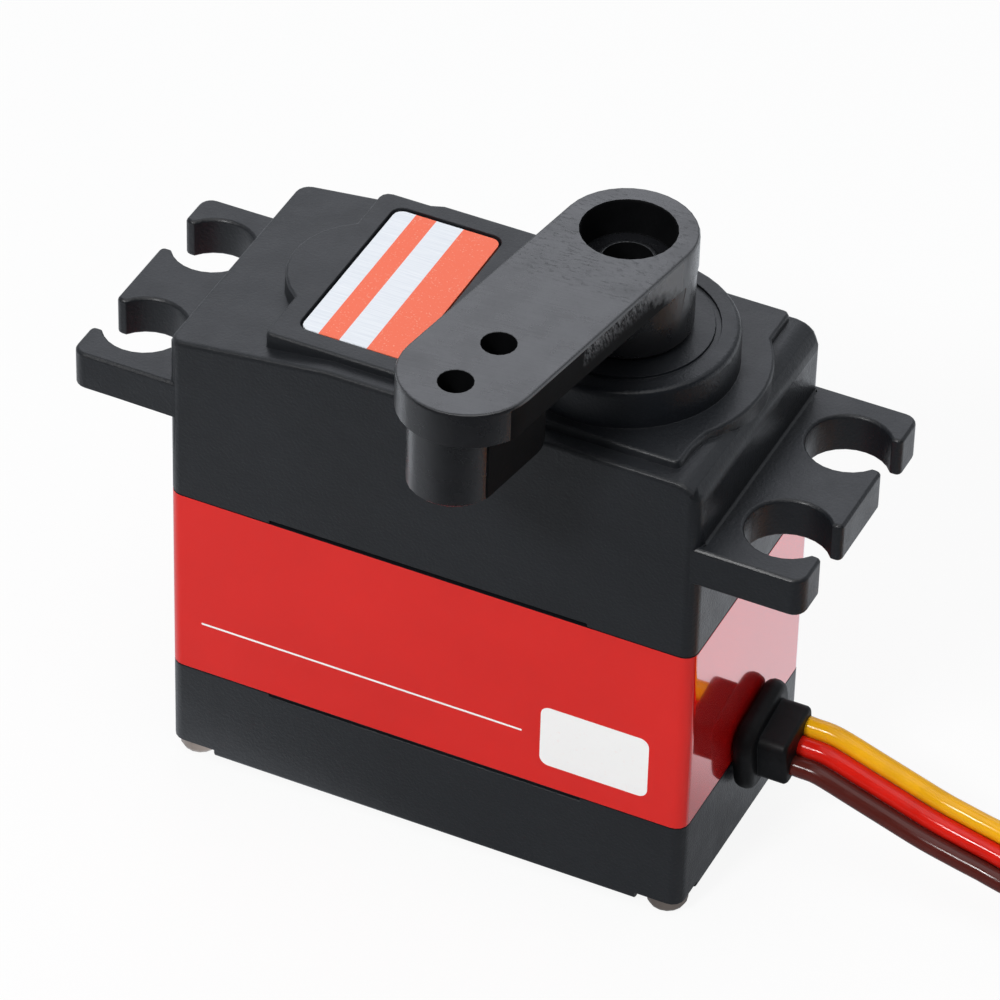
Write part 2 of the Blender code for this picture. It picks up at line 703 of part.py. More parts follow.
def gear_body(name, centre, sections, bore_r, surface):
    """Gear made of outlines on top of each other, with a bore through all of them."""
    bore = circle(bore_r, 16, centre)
    path = [at(bore, sections[0][1])]
    for loop, low, high in sections:
        path += [at(loop, low), at(loop, high)]
    path.append(at(bore, sections[-1][2]))
    make(name, solid(path, ring=True), surface, (*centre, sections[0][1]))


def gear_train():
    motor_pinion, first_wheel = meshed(MOTOR_TEETH, MOTOR, FIRST_WHEEL_TEETH, IDLE, FINE)
    first_pinion, second_wheel = meshed(FIRST_PINION_TEETH, IDLE, SECOND_WHEEL_TEETH, MOTOR, FINE)
    second_pinion, third_wheel = meshed(SECOND_PINION_TEETH, MOTOR, THIRD_WHEEL_TEETH, IDLE, FINE)
    third_pinion, output_wheel = meshed(THIRD_PINION_TEETH, IDLE, OUTPUT_TEETH, OUT, COARSE)
    bore = PIN_R + RUN_GAP
    gear_body("motor_pinion", MOTOR, [(motor_pinion, level(0.7), level(3.1))], PIN_R + 0.05, BRASS)
    hub = circle(1.5, 20, IDLE)
    sections = [(hub, level(0.25), level(1.0)), (first_wheel, level(1.0), level(3.0))]
    sections.append((first_pinion, level(3.0), level(5.7)))
    gear_body("first_gear", IDLE, sections, bore, WHITE_GEAR)
    hub = circle(1.25, 20, MOTOR)
    sections = [(second_wheel, level(3.8), level(5.5)), (second_pinion, level(5.5), level(8.4))]
    sections.append((hub, level(8.4), level(11.4)))
    gear_body("second_gear", MOTOR, sections, bore, WHITE_GEAR)
    sections = [(third_wheel, level(6.0), level(8.0)), (third_pinion, level(8.0), level(12.8))]
    gear_body("third_gear", IDLE, sections, bore, BRASS)
    long_pin = [(PIN_R - 0.15, DECK_Z - 1.7), (PIN_R, DECK_Z - 1.5), (PIN_R, ROOF_Z + 1.0)]
    long_pin.append((PIN_R - 0.15, ROOF_Z + 1.2))
    make("gear_pin_long", lathe(long_pin, 16, IDLE), STEEL)
    short_pin = [(1.3, level(3.3)), (1.3, level(3.6)), (PIN_R, level(3.6)), (PIN_R, ROOF_LOW_Z + 1.7)]
    short_pin.append((PIN_R - 0.15, ROOF_LOW_Z + 1.9))
    make("gear_pin_short", lathe(short_pin, 16, MOTOR), STEEL)
    output_shaft(output_wheel)


def output_shaft(wheel):
    """The last gear with its splined shaft, hollow below for the position sensor."""
    low = DECK_LOW + 0.25
    shoulder = ROOF_Z + 0.95
    steps = [(SENSOR_SHAFT_R + 0.2, 14, level(2.5)), (SENSOR_SHAFT_R + 0.2, 14, low)]
    steps += [(BUSH_IN_R - RUN_GAP, 24, low), (BUSH_IN_R - RUN_GAP, 24, DECK_Z + FIT_GAP)]
    steps += [(BUSH_IN_R + 0.5, 24, DECK_Z + FIT_GAP), (BUSH_IN_R + 0.5, 24, level(8.5))]
    path = [at(circle(r, n, OUT), z) for r, n, z in steps]
    path += [at(wheel, level(8.5)), at(wheel, level(12.3))]
    collar_r = SHAFT_R + 0.8
    steps = [(collar_r, level(12.3)), (collar_r, shoulder), (SHAFT_R, shoulder), (SHAFT_R, SPLINE_LOW)]
    path += [at(circle(r, 28, OUT), z) for r, z in steps]
    top = SPLINE_LOW + SPLINE_H
    teeth = spline(SPLINE_R, math.radians(HORN_TURN))
    path += [at(teeth, SPLINE_LOW), at(teeth, top)]
    path += [at(circle(1.25, 14, OUT), top), at(circle(1.25, 14, OUT), top - 8)]
    make("output_gear", solid(path), BRASS, (OUT_X, 0.0, low))


def groove(ball_r, ball_at, wall_r, middle, side):
    """Points of a ball groove in a race whose wall lies at wall_r."""
    reach = ball_r + 0.2
    limit = math.acos(abs(ball_at - wall_r) / reach)
    steps = [-limit, 0.0, limit]
    return [(ball_at + side * reach * math.cos(a), middle + reach * math.sin(a)) for a in steps]


def output_bearing():
    """Ball bearing of three pieces in the boss: outer race, caged balls and inner race."""
    low = ROOF_Z + 1.1
    high = BOSS_Z - 1.35
    axis = (OUT_X, 0.0, low)
    middle = (low + high) / 2
    ball_at = (BEARING_IN_R + BEARING_OUT_R) / 2
    gap = BALL_R * 0.72
    inside = [(BEARING_IN_R, low), (ball_at - gap, low)] + groove(BALL_R, ball_at, ball_at - gap, middle, -1)
    inside += [(ball_at - gap, high), (BEARING_IN_R, high)]
    make("bearing_inner_race", lathe(inside, 20, OUT, ring=True), STEEL, axis)
    outside = [(BEARING_OUT_R, low), (ball_at + gap, low)] + groove(BALL_R, ball_at, ball_at + gap, middle, 1)
    outside += [(ball_at + gap, high), (BEARING_OUT_R, high)]
    make("bearing_outer_race", lathe(outside, 20, OUT, ring=True), STEEL, axis)
    half = BALL_R * 0.36
    profile = [(ball_at - half, middle - half), (ball_at + half, middle - half)]
    profile += [(ball_at + half, middle + half), (ball_at - half, middle + half)]
    cage = make("bearing_ball_cage", lathe(profile, 20, OUT, ring=True), BRASS, axis)
    balls = []
    for x, y in circle(ball_at, BALLS, OUT, 0.1):
        ball = bmesh.new()
        bmesh.ops.create_uvsphere(ball, u_segments=6, v_segments=4, radius=BALL_R)
        bmesh.ops.translate(ball, verts=ball.verts, vec=(x, y, middle))
        balls.append(ball)
    join(cage, "bearing_balls", group(balls))


def lower_bushing():
    """Plain ring in the deck that guides the foot of the output shaft."""
    low = DECK_LOW + 0.6
    high = DECK_Z - FIT_GAP
    profile = [(BUSH_IN_R, low), (BUSH_OUT_R, low), (BUSH_OUT_R, high), (BUSH_IN_R, high)]
    make("lower_bushing", lathe(profile, 24, OUT, ring=True), BRASS)


def potentiometer():
    """Position sensor under the deck, turned by the output shaft."""
    high = DECK_LOW - 0.25
    low = high - SENSOR_H
    bore = SENSOR_SHAFT_R + 0.15
    profile = [(SENSOR_R - 0.3, low), (SENSOR_R, low + 0.3), (SENSOR_R, high - 0.5), (SENSOR_R - 0.5, high)]
    profile += [(bore, high), (bore, high - SENSOR_H / 2)]
    make("potentiometer_body", lathe(profile, 20, OUT), CHIP)
    shaft = [(SENSOR_SHAFT_R, high - SENSOR_H / 2 + 0.3), (SENSOR_SHAFT_R, level(2.2))]
    make("potentiometer_shaft", lathe(shaft, 14, OUT), STEEL, (OUT_X, 0.0, high))


def board_top():
    return FLOOR_T + 0.3 + BOARD_T


def electronics():
    half_x = SCREW_X - 3.7
    half_y = HALF_W - 3.0
    top = board_top()
    make("circuit_board", box(-half_x, half_x, -half_y, half_y, FLOOR_T + 0.3, top), BOARD)
    up = top + FIT_GAP
    start = MOTOR_X + DRIVER_AWAY
    end = start + DRIVER_L
    for name, side in (("a", 1), ("b", -1)):
        y = 0.4 * MOTOR_R * side
        make(f"driver_chip_{name}", soft_box(start, end, y - 1.9, y + 1.9, up, up + 0.8, 0.15), CHIP)
    r = CAPACITOR_R
    spot = (half_x - r - 2.3, -half_y + r + 0.9)
    x0 = end + CHIP_ROOM
    x1 = spot[0] - r - 0.35 * CHIP_ROOM
    make("control_chip", soft_box(x0, x1, -3.0, 3.0, up, up + 0.9, 0.15), CHIP)
    can = [(r - 0.3, up), (r, up + 0.3), (r, up + 4.4), (r - 0.3, up + 4.7)]
    make("capacitor", lathe(can, 14, spot), STEEL)


def servo_horn():
    """Single-arm horn, pushed on the spline, with a counterbore for a screw that isn't fitted."""
    hub = circle(HORN_R - 0.1, 32, OUT)
    arm_low = HORN_TOP - HORN_ARM_T
    tip = (OUT_X, -HORN_REACH)
    arm = arc(OUT, HORN_R, 0, 180, 18) + arc(tip, HORN_R, 180, 360, 18)
    socket = circle(SPLINE_R + 0.15, 24, OUT)
    floor = SEAT_Z + 1.2
    path = [at(socket, HORN_LOW), at(inset(hub, HUB_SOFT), HORN_LOW), at(inset(hub, 0.1), HORN_LOW + 0.12)]
    path += [at(hub, HORN_LOW + HUB_SOFT), at(hub, arm_low)]
    path += [at(inset(arm, 0.12), arm_low), at(arm, arm_low + 0.12), at(arm, HORN_TOP - HORN_SOFT)]
    path += [at(inset(arm, 0.08), HORN_TOP - 0.08), at(inset(arm, HORN_SOFT), HORN_TOP)]
    well = [(WELL_R + 0.1, HORN_TOP), (WELL_R, HORN_TOP - 0.15), (WELL_R, floor), (WELL_LIP_R, floor)]
    well += [(WELL_LIP_R, floor + 0.35), (WELL_HOLE_R, floor + 0.35), (WELL_HOLE_R, SEAT_Z)]
    path += [at(circle(r, 26, OUT), z) for r, z in well]
    path.append(at(socket, SEAT_Z))
    bm = solid(path, ring=True)
    stud_low = arm_low - STUD_H
    far = (OUT_X, -LINK_FAR)
    near = (OUT_X, -LINK_NEAR)
    stud = [(STUD_R - 0.2, stud_low), (STUD_R, stud_low + 0.2), (STUD_R, arm_low + 1)]
    stud_bm = lathe(stud, 24, far)
    holes = [disc(LINK_R, low - 1, HORN_TOP + 1, 18, spot) for low, spot in ((stud_low, far), (arm_low, near))]
    holes = group(holes)
    turn = Matrix.Rotation(math.radians(HORN_TURN), 3, "Z")
    for shape in (bm, stud_bm, holes):
        bmesh.ops.rotate(shape, verts=shape.verts, cent=(OUT_X, 0, 0), matrix=turn)
    horn = make("servo_horn", bm, HORN_BLACK, (OUT_X, 0.0, HORN_LOW))
    join(horn, "tip_stud", stud_bm)
    cut(horn, "link_holes", holes)


def grommet_loop(wide, high, r, roll=0.0):
    """Outline of one section of the strain relief, rolled about the lead."""
    across, up = math.cos(math.radians(roll)), math.sin(math.radians(roll))
    flat = rounded(-wide / 2, wide / 2, -high / 2, high / 2, r)
    return [(GROMMET_SIDE + a * across - b * up, GROMMET_Z + a * up + b * across) for a, b in flat]


def cable_grommet():
    """Rubber strain relief: inner flange, waist in the wall, outer bead and a short neck."""
    flange = grommet_loop(FLANGE_W, FLANGE_H, 1.6)
    waist = grommet_loop(CABLE_SLOT_W - 0.4, CABLE_SLOT_H - 0.4, 0.5)
    bead = grommet_loop(FLANGE_W, FLANGE_H, 1.6, GROMMET_ROLL)
    neck = grommet_loop(NECK_W, NECK_H, 0.7, GROMMET_ROLL)
    wall_in = HALF_L - INSIDE - 0.2
    face = HALF_L + SEAM
    edge = face + FLANGE_T
    end = edge + NECK_L
    steps = [(flange, wall_in - 1.2), (flange, wall_in), (waist, wall_in), (waist, face)]
    soft = FLANGE_SOFT
    round_off = [(soft, 0), (soft * 0.3, soft * 0.3), (0, soft)]
    steps += [(inset(bead, by), face + out) for by, out in round_off]
    steps += [(inset(bead, by), edge - out) for by, out in reversed(round_off)]
    soft = NECK_SOFT
    steps += [(neck, edge), (neck, end - soft), (inset(neck, soft * 0.3), end - soft * 0.3)]
    steps += [(inset(neck, soft), end)]
    make("cable_grommet", solid([along_x(loop, x) for loop, x in steps]), RUBBER)


def spread(route, steps=2):
    """Points of a smooth curve through the route's own points."""
    out = []
    last = len(route) - 1
    for i in range(last):
        a, b, c, d = (Vector(route[min(max(k, 0), last)]) for k in (i - 1, i, i + 1, i + 2))
        for t in [k / steps for k in range(steps)]:
            bend = 2 * b + (c - a) * t + (2 * a - 5 * b + 4 * c - d) * t * t + (3 * b - a - 3 * c + d) * t ** 3
            out.append(bend / 2)
    out.append(Vector(route[-1]))
    return out


def lead_layers():
    low = STAND_Z + TIE_T + 0.35 + WIRE_R + WIRE_PITCH
    return low, low + 3 * WIRE_PITCH + 0.1


def coil_centre():
    return HALF_L + COIL_AWAY + COIL_R, COIL_SIDE


def free_route():
    """Middle of the lead from the grommet to the start of the coil: x, y, z, roll and wire pitch."""
    start = HALF_L + SEAM + FLANGE_T + NECK_L + 0.3
    x, y = coil_centre()
    low = lead_layers()[0]
    pitch = WIRE_PITCH
    seen = [(0.35, 0.25, -0.15, 38), (1.9, 0.24, -0.27, 38), (4.8, 0.18, -1.18, 39), (7.5, 0.08, -2.0, 40)]
    seen += [(10.3, -0.1, -2.75, 41), (13.1, -0.35, -3.2, 43), (15.6, -0.65, -3.5, 46), (19.5, -1.4, -4.05, 52)]
    route = [(start + dx, GROMMET_SIDE + dy, GROMMET_Z + dz, roll, pitch) for dx, dy, dz, roll in seen]
    bottom = y - COIL_R
    route.append((x - 16.0, bottom + 7.6, low + 1.2, 62, pitch))
    route.append((x - 10.5, bottom + 3.7, low + 0.35, 80, pitch))
    route.append((x - 5.0, bottom + 0.9, low, 90, pitch))
    route.append((x - 0.35, bottom, low, 90, pitch))
    return route


def coil_route():
    """Middle of the put-away length: in along the lower layer, up a layer, out again and on to the plug."""
    x, y = coil_centre()
    low, high = lead_layers()
    inner = COIL_R - COIL_STEP * COIL_TURNS
    turn = round(COIL_TURNS * COIL_POINTS)
    half = round(COIL_POINTS / 2)
    spots = [(COIL_R - COIL_STEP * i / COIL_POINTS, low) for i in range(turn)]
    for i in range(half + 1):
        t = i / half
        spots.append((inner - CLIMB_DIP * math.sin(math.pi * t), low + (high - low) * t * t * (3 - 2 * t)))
    spots += [(inner + COIL_STEP * i / COIL_POINTS, high) for i in range(1, turn + 1)]
    route = []
    for i, (r, z) in enumerate(spots):
        angle = -math.pi / 2 + 2 * math.pi * i / COIL_POINTS
        route.append(Vector((x + r * math.cos(angle), y + r * math.sin(angle), z, 90, WIRE_PITCH)))
    plug_x, plug_y, plug_z = plug_spot()
    top = y + COIL_R
    tail = [(x - 3.8, top + 0.05, high, 90), (x - 7.4, top + 0.3, high - 0.75, 78)]
    tail += [(x - 10.6, top + 0.7, high - 2.7, 52), (x - 13.6, top + 1.05, plug_z + 1.5, 22)]
    tail = [(*point, WIRE_PITCH) for point in tail]
    tail.append((plug_x + 2.0, plug_y, plug_z + 0.2, 3, 0.5 * WIRE_PITCH + 0.5 * PLUG_PITCH))
    tail.append((plug_x - 1.2, plug_y, plug_z, 0, PLUG_PITCH))
    return route + spread([tuple(route[-1])] + tail, 3)[1:]


def plug_spot():
    """Middle of the plug's back face, where the wires go in."""
    x, y = coil_centre()
    return x - PLUG_AWAY, y + COIL_R + 1.2, STAND_Z + 0.05 + PLUG_T / 2


def strand(route, side):
    """One wire of the lead, offset from its middle by side pitches."""
    points = []
    for i, here in enumerate(route):
        ahead = Vector(route[min(i + 1, len(route) - 1)][:3])
        behind = Vector(route[max(i - 1, 0)][:3])
        run = (ahead - behind).normalized()
        left = Vector((-run.y, run.x, 0.0)).normalized()
        up = run.cross(left)
        roll = math.radians(here[3])
        offset = (left * math.cos(roll) + up * math.sin(roll)) * side * here[4]
        points.append(Vector(here[:3]) + offset)
    return points


def tube(name, points, r, surface, sides):
    """Round wire along the points, with flat ends."""
    curve = bpy.data.curves.new(name, "CURVE")
    curve.dimensions = "3D"
    curve.bevel_depth = r * MM
    curve.bevel_resolution = sides // 2 - 2
    curve.use_fill_caps = True
    line = curve.splines.new("POLY")
    line.points.add(len(points) - 1)
    for spot, point in zip(line.points, points):
        spot.co = (*(point * MM), 1.0)
    obj = bpy.data.objects.new(name, curve)
    bpy.context.scene.collection.objects.link(obj)
    curve.materials.append(surface)


def least_gap(lines, skip):
    """Smallest free space between wires and between the turns of each."""
    best = 1e9
    for a, first in enumerate(lines):
        for b in range(a, len(lines)):
            for i, here in enumerate(first):
                for j, there in enumerate(lines[b]):
                    if a == b and abs(i - j) < skip:
                        continue
                    best = min(best, (here - there).length)
    return best - 2 * WIRE_R


def lead():
    wires = (("brown", -1, BROWN_WIRE), ("red", 0, RED_WIRE), ("yellow", 1, YELLOW_WIRE))
    free = spread(free_route())
    coil = coil_route()
    turns = []
    for name, side, surface in wires:
        tube(f"wire_{name}", strand(free, side), WIRE_R, surface, 8)
        turns.append(strand(coil, side))
        tube(f"wire_{name}_coil", turns[-1], WIRE_R, surface, 6)
        length = sum((b - a).length for line in (strand(free, side), turns[-1]) for a, b in zip(line, line[1:]))
        own = least_gap([turns[-1]], 12)
        print(f"wire_{name}: {length:.0f} mm long, its coil clears itself by {own:.2f} mm")
    print(f"least gap anywhere between the coiled wires: {least_gap(turns, 12):.2f} mm")


def board_leads():
    """Short wires from the grommet's inner end down to the board."""
    start = HALF_L - INSIDE - 1.7
    surfaces = (("brown", -1, BROWN_WIRE), ("red", 0, RED_WIRE), ("yellow", 1, YELLOW_WIRE))
    for name, side, surface in surfaces:
        y = GROMMET_SIDE + side * WIRE_PITCH
        end = board_top() + FIT_GAP
        points = [(start, y, GROMMET_Z), (start - 1.2, y, GROMMET_Z - 0.1), (start - 2.3, y, GROMMET_Z - 1.2)]
        points += [(start - 2.8, y, GROMMET_Z - 2.8), (start - 2.9, y, end)]
        tube(f"board_lead_{name}", [Vector(p) for p in points], WIRE_R, surface, 6)


def coil_tie():
    """Band round the coil, holding both layers."""
    x, y = coil_centre()
    high = lead_layers()[1]
    room = WIRE_R + 0.3
    inner_x = x + COIL_R - COIL_STEP * COIL_TURNS - CLIMB_DIP - room
    outer_x = x + COIL_R + room
    top = high + WIRE_PITCH + room
    low = STAND_Z + 0.02
    outside = rounded(inner_x - TIE_T, outer_x + TIE_T, low, top + TIE_T, 1.0)
    inside = rounded(inner_x, outer_x, low + TIE_T, top, 0.5)
    left = y - TIE_W / 2
    right = y + TIE_W / 2
    path = [along_y(outside, left), along_y(outside, right), along_y(inside, right), along_y(inside, left)]
    make("coil_tie", solid(path, ring=True), RUBBER)


def plug():
    """Flat three-way connector: wires go in at its back, pins of the mating half at its front."""
    x, y, z = plug_spot()
    half = PLUG_W / 2
    front = x - PLUG_L
    low = z - PLUG_T / 2
    high = z + PLUG_T / 2
    room = PLUG_POCKET / 2
    pin = room - FIT_GAP
    housing = make("plug_housing", soft_box(front, x, y - half, y + half, low, high, 0.25), BLACK)
    pockets = []
    for side in (-1, 0, 1):
        spot = y + side * PLUG_PITCH
        back = circle(WIRE_R + 0.3, 12, (spot, z))
        pockets.append(solid([along_x(back, x - 1.6), along_x(back, x + 1)]))
        pockets.append(box(front - 1, x - PLUG_BACK, spot - room, spot + room, z - room, z + room))
        contact = box(front + 1.2, x - PLUG_BACK - FIT_GAP, spot - pin, spot + pin, z - pin, z + pin)
        make(f"plug_contact_{side + 2}", contact, BRASS)
    cut(housing, "plug_pockets", group(pockets))


gear_cover()
label_plate()
middle_case()
bottom_cover()
case_screws()
motor()
motor_screws()
gear_train()
output_bearing()
lower_bushing()
potentiometer()
electronics()
servo_horn()
cable_grommet()
board_leads()
lead()
coil_tie()
plug()
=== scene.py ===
# %% [markdown]
# # A hobby servo, dressed for its photograph
#
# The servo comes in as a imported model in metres: a black gear cover with four keyhole ears, a red
# middle case, a black base, a single-arm horn and a three-wire lead. Modelling it here again would
# only give a second set of sizes, so its pieces stay where the model puts them. This lesson gives
# each one its finish, rounds its edges, and lays the lead.

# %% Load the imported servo
import json
import math

import bmesh
import bpy
from mathutils import Matrix, Vector


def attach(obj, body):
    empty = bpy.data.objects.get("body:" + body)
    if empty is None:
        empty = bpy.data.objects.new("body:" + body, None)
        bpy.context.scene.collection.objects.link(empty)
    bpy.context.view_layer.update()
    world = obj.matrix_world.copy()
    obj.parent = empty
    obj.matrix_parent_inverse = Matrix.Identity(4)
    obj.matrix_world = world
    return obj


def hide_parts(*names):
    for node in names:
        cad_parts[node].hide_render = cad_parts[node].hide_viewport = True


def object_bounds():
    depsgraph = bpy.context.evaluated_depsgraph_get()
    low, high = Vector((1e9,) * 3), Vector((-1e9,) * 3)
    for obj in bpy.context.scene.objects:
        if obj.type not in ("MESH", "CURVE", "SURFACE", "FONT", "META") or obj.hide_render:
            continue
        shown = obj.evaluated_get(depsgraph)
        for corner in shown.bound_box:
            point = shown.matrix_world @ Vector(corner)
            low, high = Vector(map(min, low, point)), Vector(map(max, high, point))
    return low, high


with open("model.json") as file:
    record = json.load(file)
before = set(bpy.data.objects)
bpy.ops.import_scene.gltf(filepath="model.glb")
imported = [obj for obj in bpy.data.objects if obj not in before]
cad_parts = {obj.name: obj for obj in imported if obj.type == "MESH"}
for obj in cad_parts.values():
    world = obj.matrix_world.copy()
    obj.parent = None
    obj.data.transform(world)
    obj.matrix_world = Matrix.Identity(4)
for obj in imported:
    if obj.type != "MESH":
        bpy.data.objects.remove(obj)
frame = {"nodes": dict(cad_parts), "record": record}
scene = bpy.context.scene
MM = 0.001
cad_low, cad_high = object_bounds()
cad_size = [round(x / MM, 1) for x in cad_high - cad_low]
print("loaded", len(frame["nodes"]), "nodes, box", cad_size, "mm")

# %% [markdown]
# ## The camera
#
# A long lens from far off keeps a product's edges nearly parallel. The place of this camera was
# solved from corners of the case, so it is written as a direction, a small roll and a distance.
# A track constraint would be shorter, but it can't hold the roll.

# %% Place the camera
AIM = Vector((0.0, 0.0, 18.0))
AZIMUTH = math.radians(24.486)
ELEVATION = math.radians(39.256)
ROLL = math.radians(1.695)
OFF_RIGHT = 0.784
OFF_UP = 3.741
DISTANCE = 462.871
SENSOR = 36.0
FOCAL_SHARE = 6.519119

level = math.cos(ELEVATION)
back = Vector((math.sin(AZIMUTH) * level, -math.cos(AZIMUTH) * level, math.sin(ELEVATION)))
level_right = Vector((math.cos(AZIMUTH), math.sin(AZIMUTH), 0.0))
level_up = back.cross(level_right)
right = level_right * math.cos(ROLL) + level_up * math.sin(ROLL)
up = level_up * math.cos(ROLL) - level_right * math.sin(ROLL)
eye = AIM + right * OFF_RIGHT + up * OFF_UP + back * DISTANCE

camera = bpy.data.objects.new("camera", bpy.data.cameras.new("camera"))
scene.collection.objects.link(camera)
facing = Matrix((right, up, back)).transposed().to_4x4()
camera.matrix_world = Matrix.Translation(eye * MM) @ facing
camera.data.sensor_width = SENSOR
camera.data.lens = SENSOR * FOCAL_SHARE
camera.data.clip_start = 0.01
camera.data.clip_end = 20.0
scene.camera = camera
print("camera at", [round(x, 1) for x in eye], "mm, lens", round(camera.data.lens, 1), "mm")

# %% [markdown]
# ## The lead's sizes
#
# Three insulated wires leave the rubber grommet side by side, like a ribbon on its edge, and sink
# to the table. The length that the picture doesn't show is wound into one flat coil with a tie.
# The route could be drawn by hand, but here each place follows from a few sizes of the model, so
# that the lead stays with the grommet, the coil and the plug.

# %% Sizes of the lead
HALF_L = 20.25
STAND_Z = -0.6
WIRE_PITCH = 1.5
WIRE_R = 0.755
PLUG_PITCH = 2.2
NECK_END = 24.41
EXIT_SIDE = 1.1
EXIT_Z = 8.5
COIL_R = 14.5
COIL_STEP = 1.85
COIL_POINTS = 24
CLIMB_DIP = 0.75
COIL_X = HALF_L + 34.0 + COIL_R
COIL_Y = 3.0
LOW_Z = STAND_Z + 0.5 + 0.35 + 0.62 + WIRE_PITCH
HIGH_Z = LOW_Z + 3 * WIRE_PITCH + 0.1
PLUG = Vector((COIL_X - 18.5, COIL_Y + COIL_R + 1.2, STAND_Z + 0.05 + 1.27))
print("coil round", [COIL_X, COIL_Y], "mm, in layers at z", round(LOW_Z, 2), round(HIGH_Z, 2))

# %% [markdown]
# ## From the grommet to the coil
#
# Past the grommet's neck the ribbon bends down by its own weight and slowly rolls upright. A cloth
# or rope simulation would find such a bend by itself, but it wouldn't pass through the places that
# the picture shows. So each station is written down: how far past the neck, how far aside, how far
# down, and the roll in degrees.

# %% Way out of the case
SEEN = [
    (-1.4, 0.25, -0.1, 38), (0.35, 0.25, -0.15, 38), (1.9, 0.24, -0.27, 38),
    (4.8, 0.18, -1.18, 39), (7.5, 0.08, -2.0, 40), (10.3, -0.1, -2.75, 41),
    (13.1, -0.35, -3.2, 43), (15.6, -0.65, -3.5, 46), (19.5, -1.4, -4.05, 52),
]


def lead_out():
    """From inside the grommet's neck down to the start of the coil."""
    route = [
        (NECK_END + past, EXIT_SIDE + aside, EXIT_Z + down, roll, WIRE_PITCH)
        for past, aside, down, roll in SEEN
    ]
    near = COIL_Y - COIL_R
    route.append((COIL_X - 16.0, near + 7.6, LOW_Z + 1.2, 62, WIRE_PITCH))
    route.append((COIL_X - 10.5, near + 3.7, LOW_Z + 0.35, 80, WIRE_PITCH))
    route.append((COIL_X - 5.0, near + 0.9, LOW_Z, 90, WIRE_PITCH))
    return route


print("lead leaves the case over", len(lead_out()), "stations")

# %% [markdown]
# ## The coil and the plug
#
# A lead that is put away lies in flat turns under a tie. A helix from a screw modifier would be
# quick, but its end lies where it began, and the plug needs a way out. So the radius and the height
# are given turn by turn: one turn in along the table, half a turn up, and one turn out on top.
# Between the two layers the line dips inwards a little, to pass clear of itself.

# %% Coil and way to the plug


def lead_coil():
    """One turn in along the table, half a turn up, one turn out on top, and on to the plug."""
    inner = COIL_R - COIL_STEP
    half = COIL_POINTS // 2
    spots = [(COIL_R - COIL_STEP * i / COIL_POINTS, LOW_Z) for i in range(COIL_POINTS)]
    for i in range(half + 1):
        t = i / half
        rise = t * t * (3 - 2 * t)
        dip = CLIMB_DIP * math.sin(math.pi * t)
        spots.append((inner - dip, LOW_Z + (HIGH_Z - LOW_Z) * rise))
    spots += [(inner + COIL_STEP * i / COIL_POINTS, HIGH_Z) for i in range(1, COIL_POINTS + 1)]
    route = []
    for i, (r, z) in enumerate(spots):
        angle = -math.pi / 2 + 2 * math.pi * i / COIL_POINTS
        x, y = COIL_X + r * math.cos(angle), COIL_Y + r * math.sin(angle)
        route.append((x, y, z, 90, WIRE_PITCH))
    far = COIL_Y + COIL_R
    route.append((COIL_X - 3.8, far + 0.05, HIGH_Z, 90, WIRE_PITCH))
    route.append((COIL_X - 7.4, far + 0.3, HIGH_Z - 0.75, 78, WIRE_PITCH))
    route.append((COIL_X - 10.6, far + 0.7, HIGH_Z - 2.7, 52, WIRE_PITCH))
    route.append((COIL_X - 13.6, far + 1.05, PLUG.z + 1.5, 22, WIRE_PITCH))
    route.append((PLUG.x + 2.0, PLUG.y, PLUG.z + 0.2, 3, (WIRE_PITCH + PLUG_PITCH) / 2))
    route.append((PLUG.x - 1.2, PLUG.y, PLUG.z, 0, PLUG_PITCH))
    return route


print("coil and plug take", len(lead_coil()), "stations")

# %% [markdown]
# ## A smooth middle line
#
# A wire never bends in a corner, so the stations are joined by a curve that passes through each of
# them. Bezier handles could do that, but the roll and the pitch have to be smoothed along with the
# place. A Catmull-Rom curve treats all five numbers alike.

# %% Middle line of the lead


def through(route, steps):
    """Points of a smooth curve through a route of (x, y, z, roll, pitch)."""
    points = []
    last = len(route) - 1
    for i in range(last):
        a, b, c, d = (Vector(route[min(max(k, 0), last)]) for k in (i - 1, i, i + 1, i + 2))
        for t in [k / steps for k in range(steps)]:
            bend = (2 * a - 5 * b + 4 * c - d) * t * t + (3 * b - a - 3 * c + d) * t ** 3
            points.append((2 * b + (c - a) * t + bend) / 2)
    points.append(Vector(route[-1]))
    return points


lead_middle = through(lead_out() + lead_coil(), 4)
print("lead follows", len(lead_middle), "points")

# %% [markdown]
# ## The three wires
#
# A wire is a curve with a round bevel: one open line that stays smooth and can be measured. A mesh
# tube would look the same but hide its centreline. Each wire takes the middle line and steps aside
# by one pitch, so the three touch as the real moulded ribbon does.

# %% Line of one wire


def strand(side):
    """Centreline of one wire, offset from the lead's middle by side pitches."""
    points = []
    last = len(lead_middle) - 1
    for i, here in enumerate(lead_middle):
        ahead, behind = lead_middle[min(i + 1, last)], lead_middle[max(i - 1, 0)]
        run = Vector(ahead[:3]) - Vector(behind[:3])
        run.normalize()
        left = Vector((-run.y, run.x, 0.0)).normalized()
        over = run.cross(left)
        roll = math.radians(here[3])
        aside = (left * math.cos(roll) + over * math.sin(roll)) * side * here[4]
        points.append((Vector(here[:3]) + aside) * MM)
    return points


print("middle wire starts at", [round(x / MM, 1) for x in strand(0)[0]], "mm")

# %% [markdown]
# ## Wires as curves
#
# A lead is limp, but here each wire is simply a curve that rides on the case. The radius is set on
# each point of the curve and not on the bevel, because then the curve's box is no larger than the
# wire itself.

# %% Make the wires
LEAD_COLOURS = {"brown": -1, "red": 0, "yellow": 1}


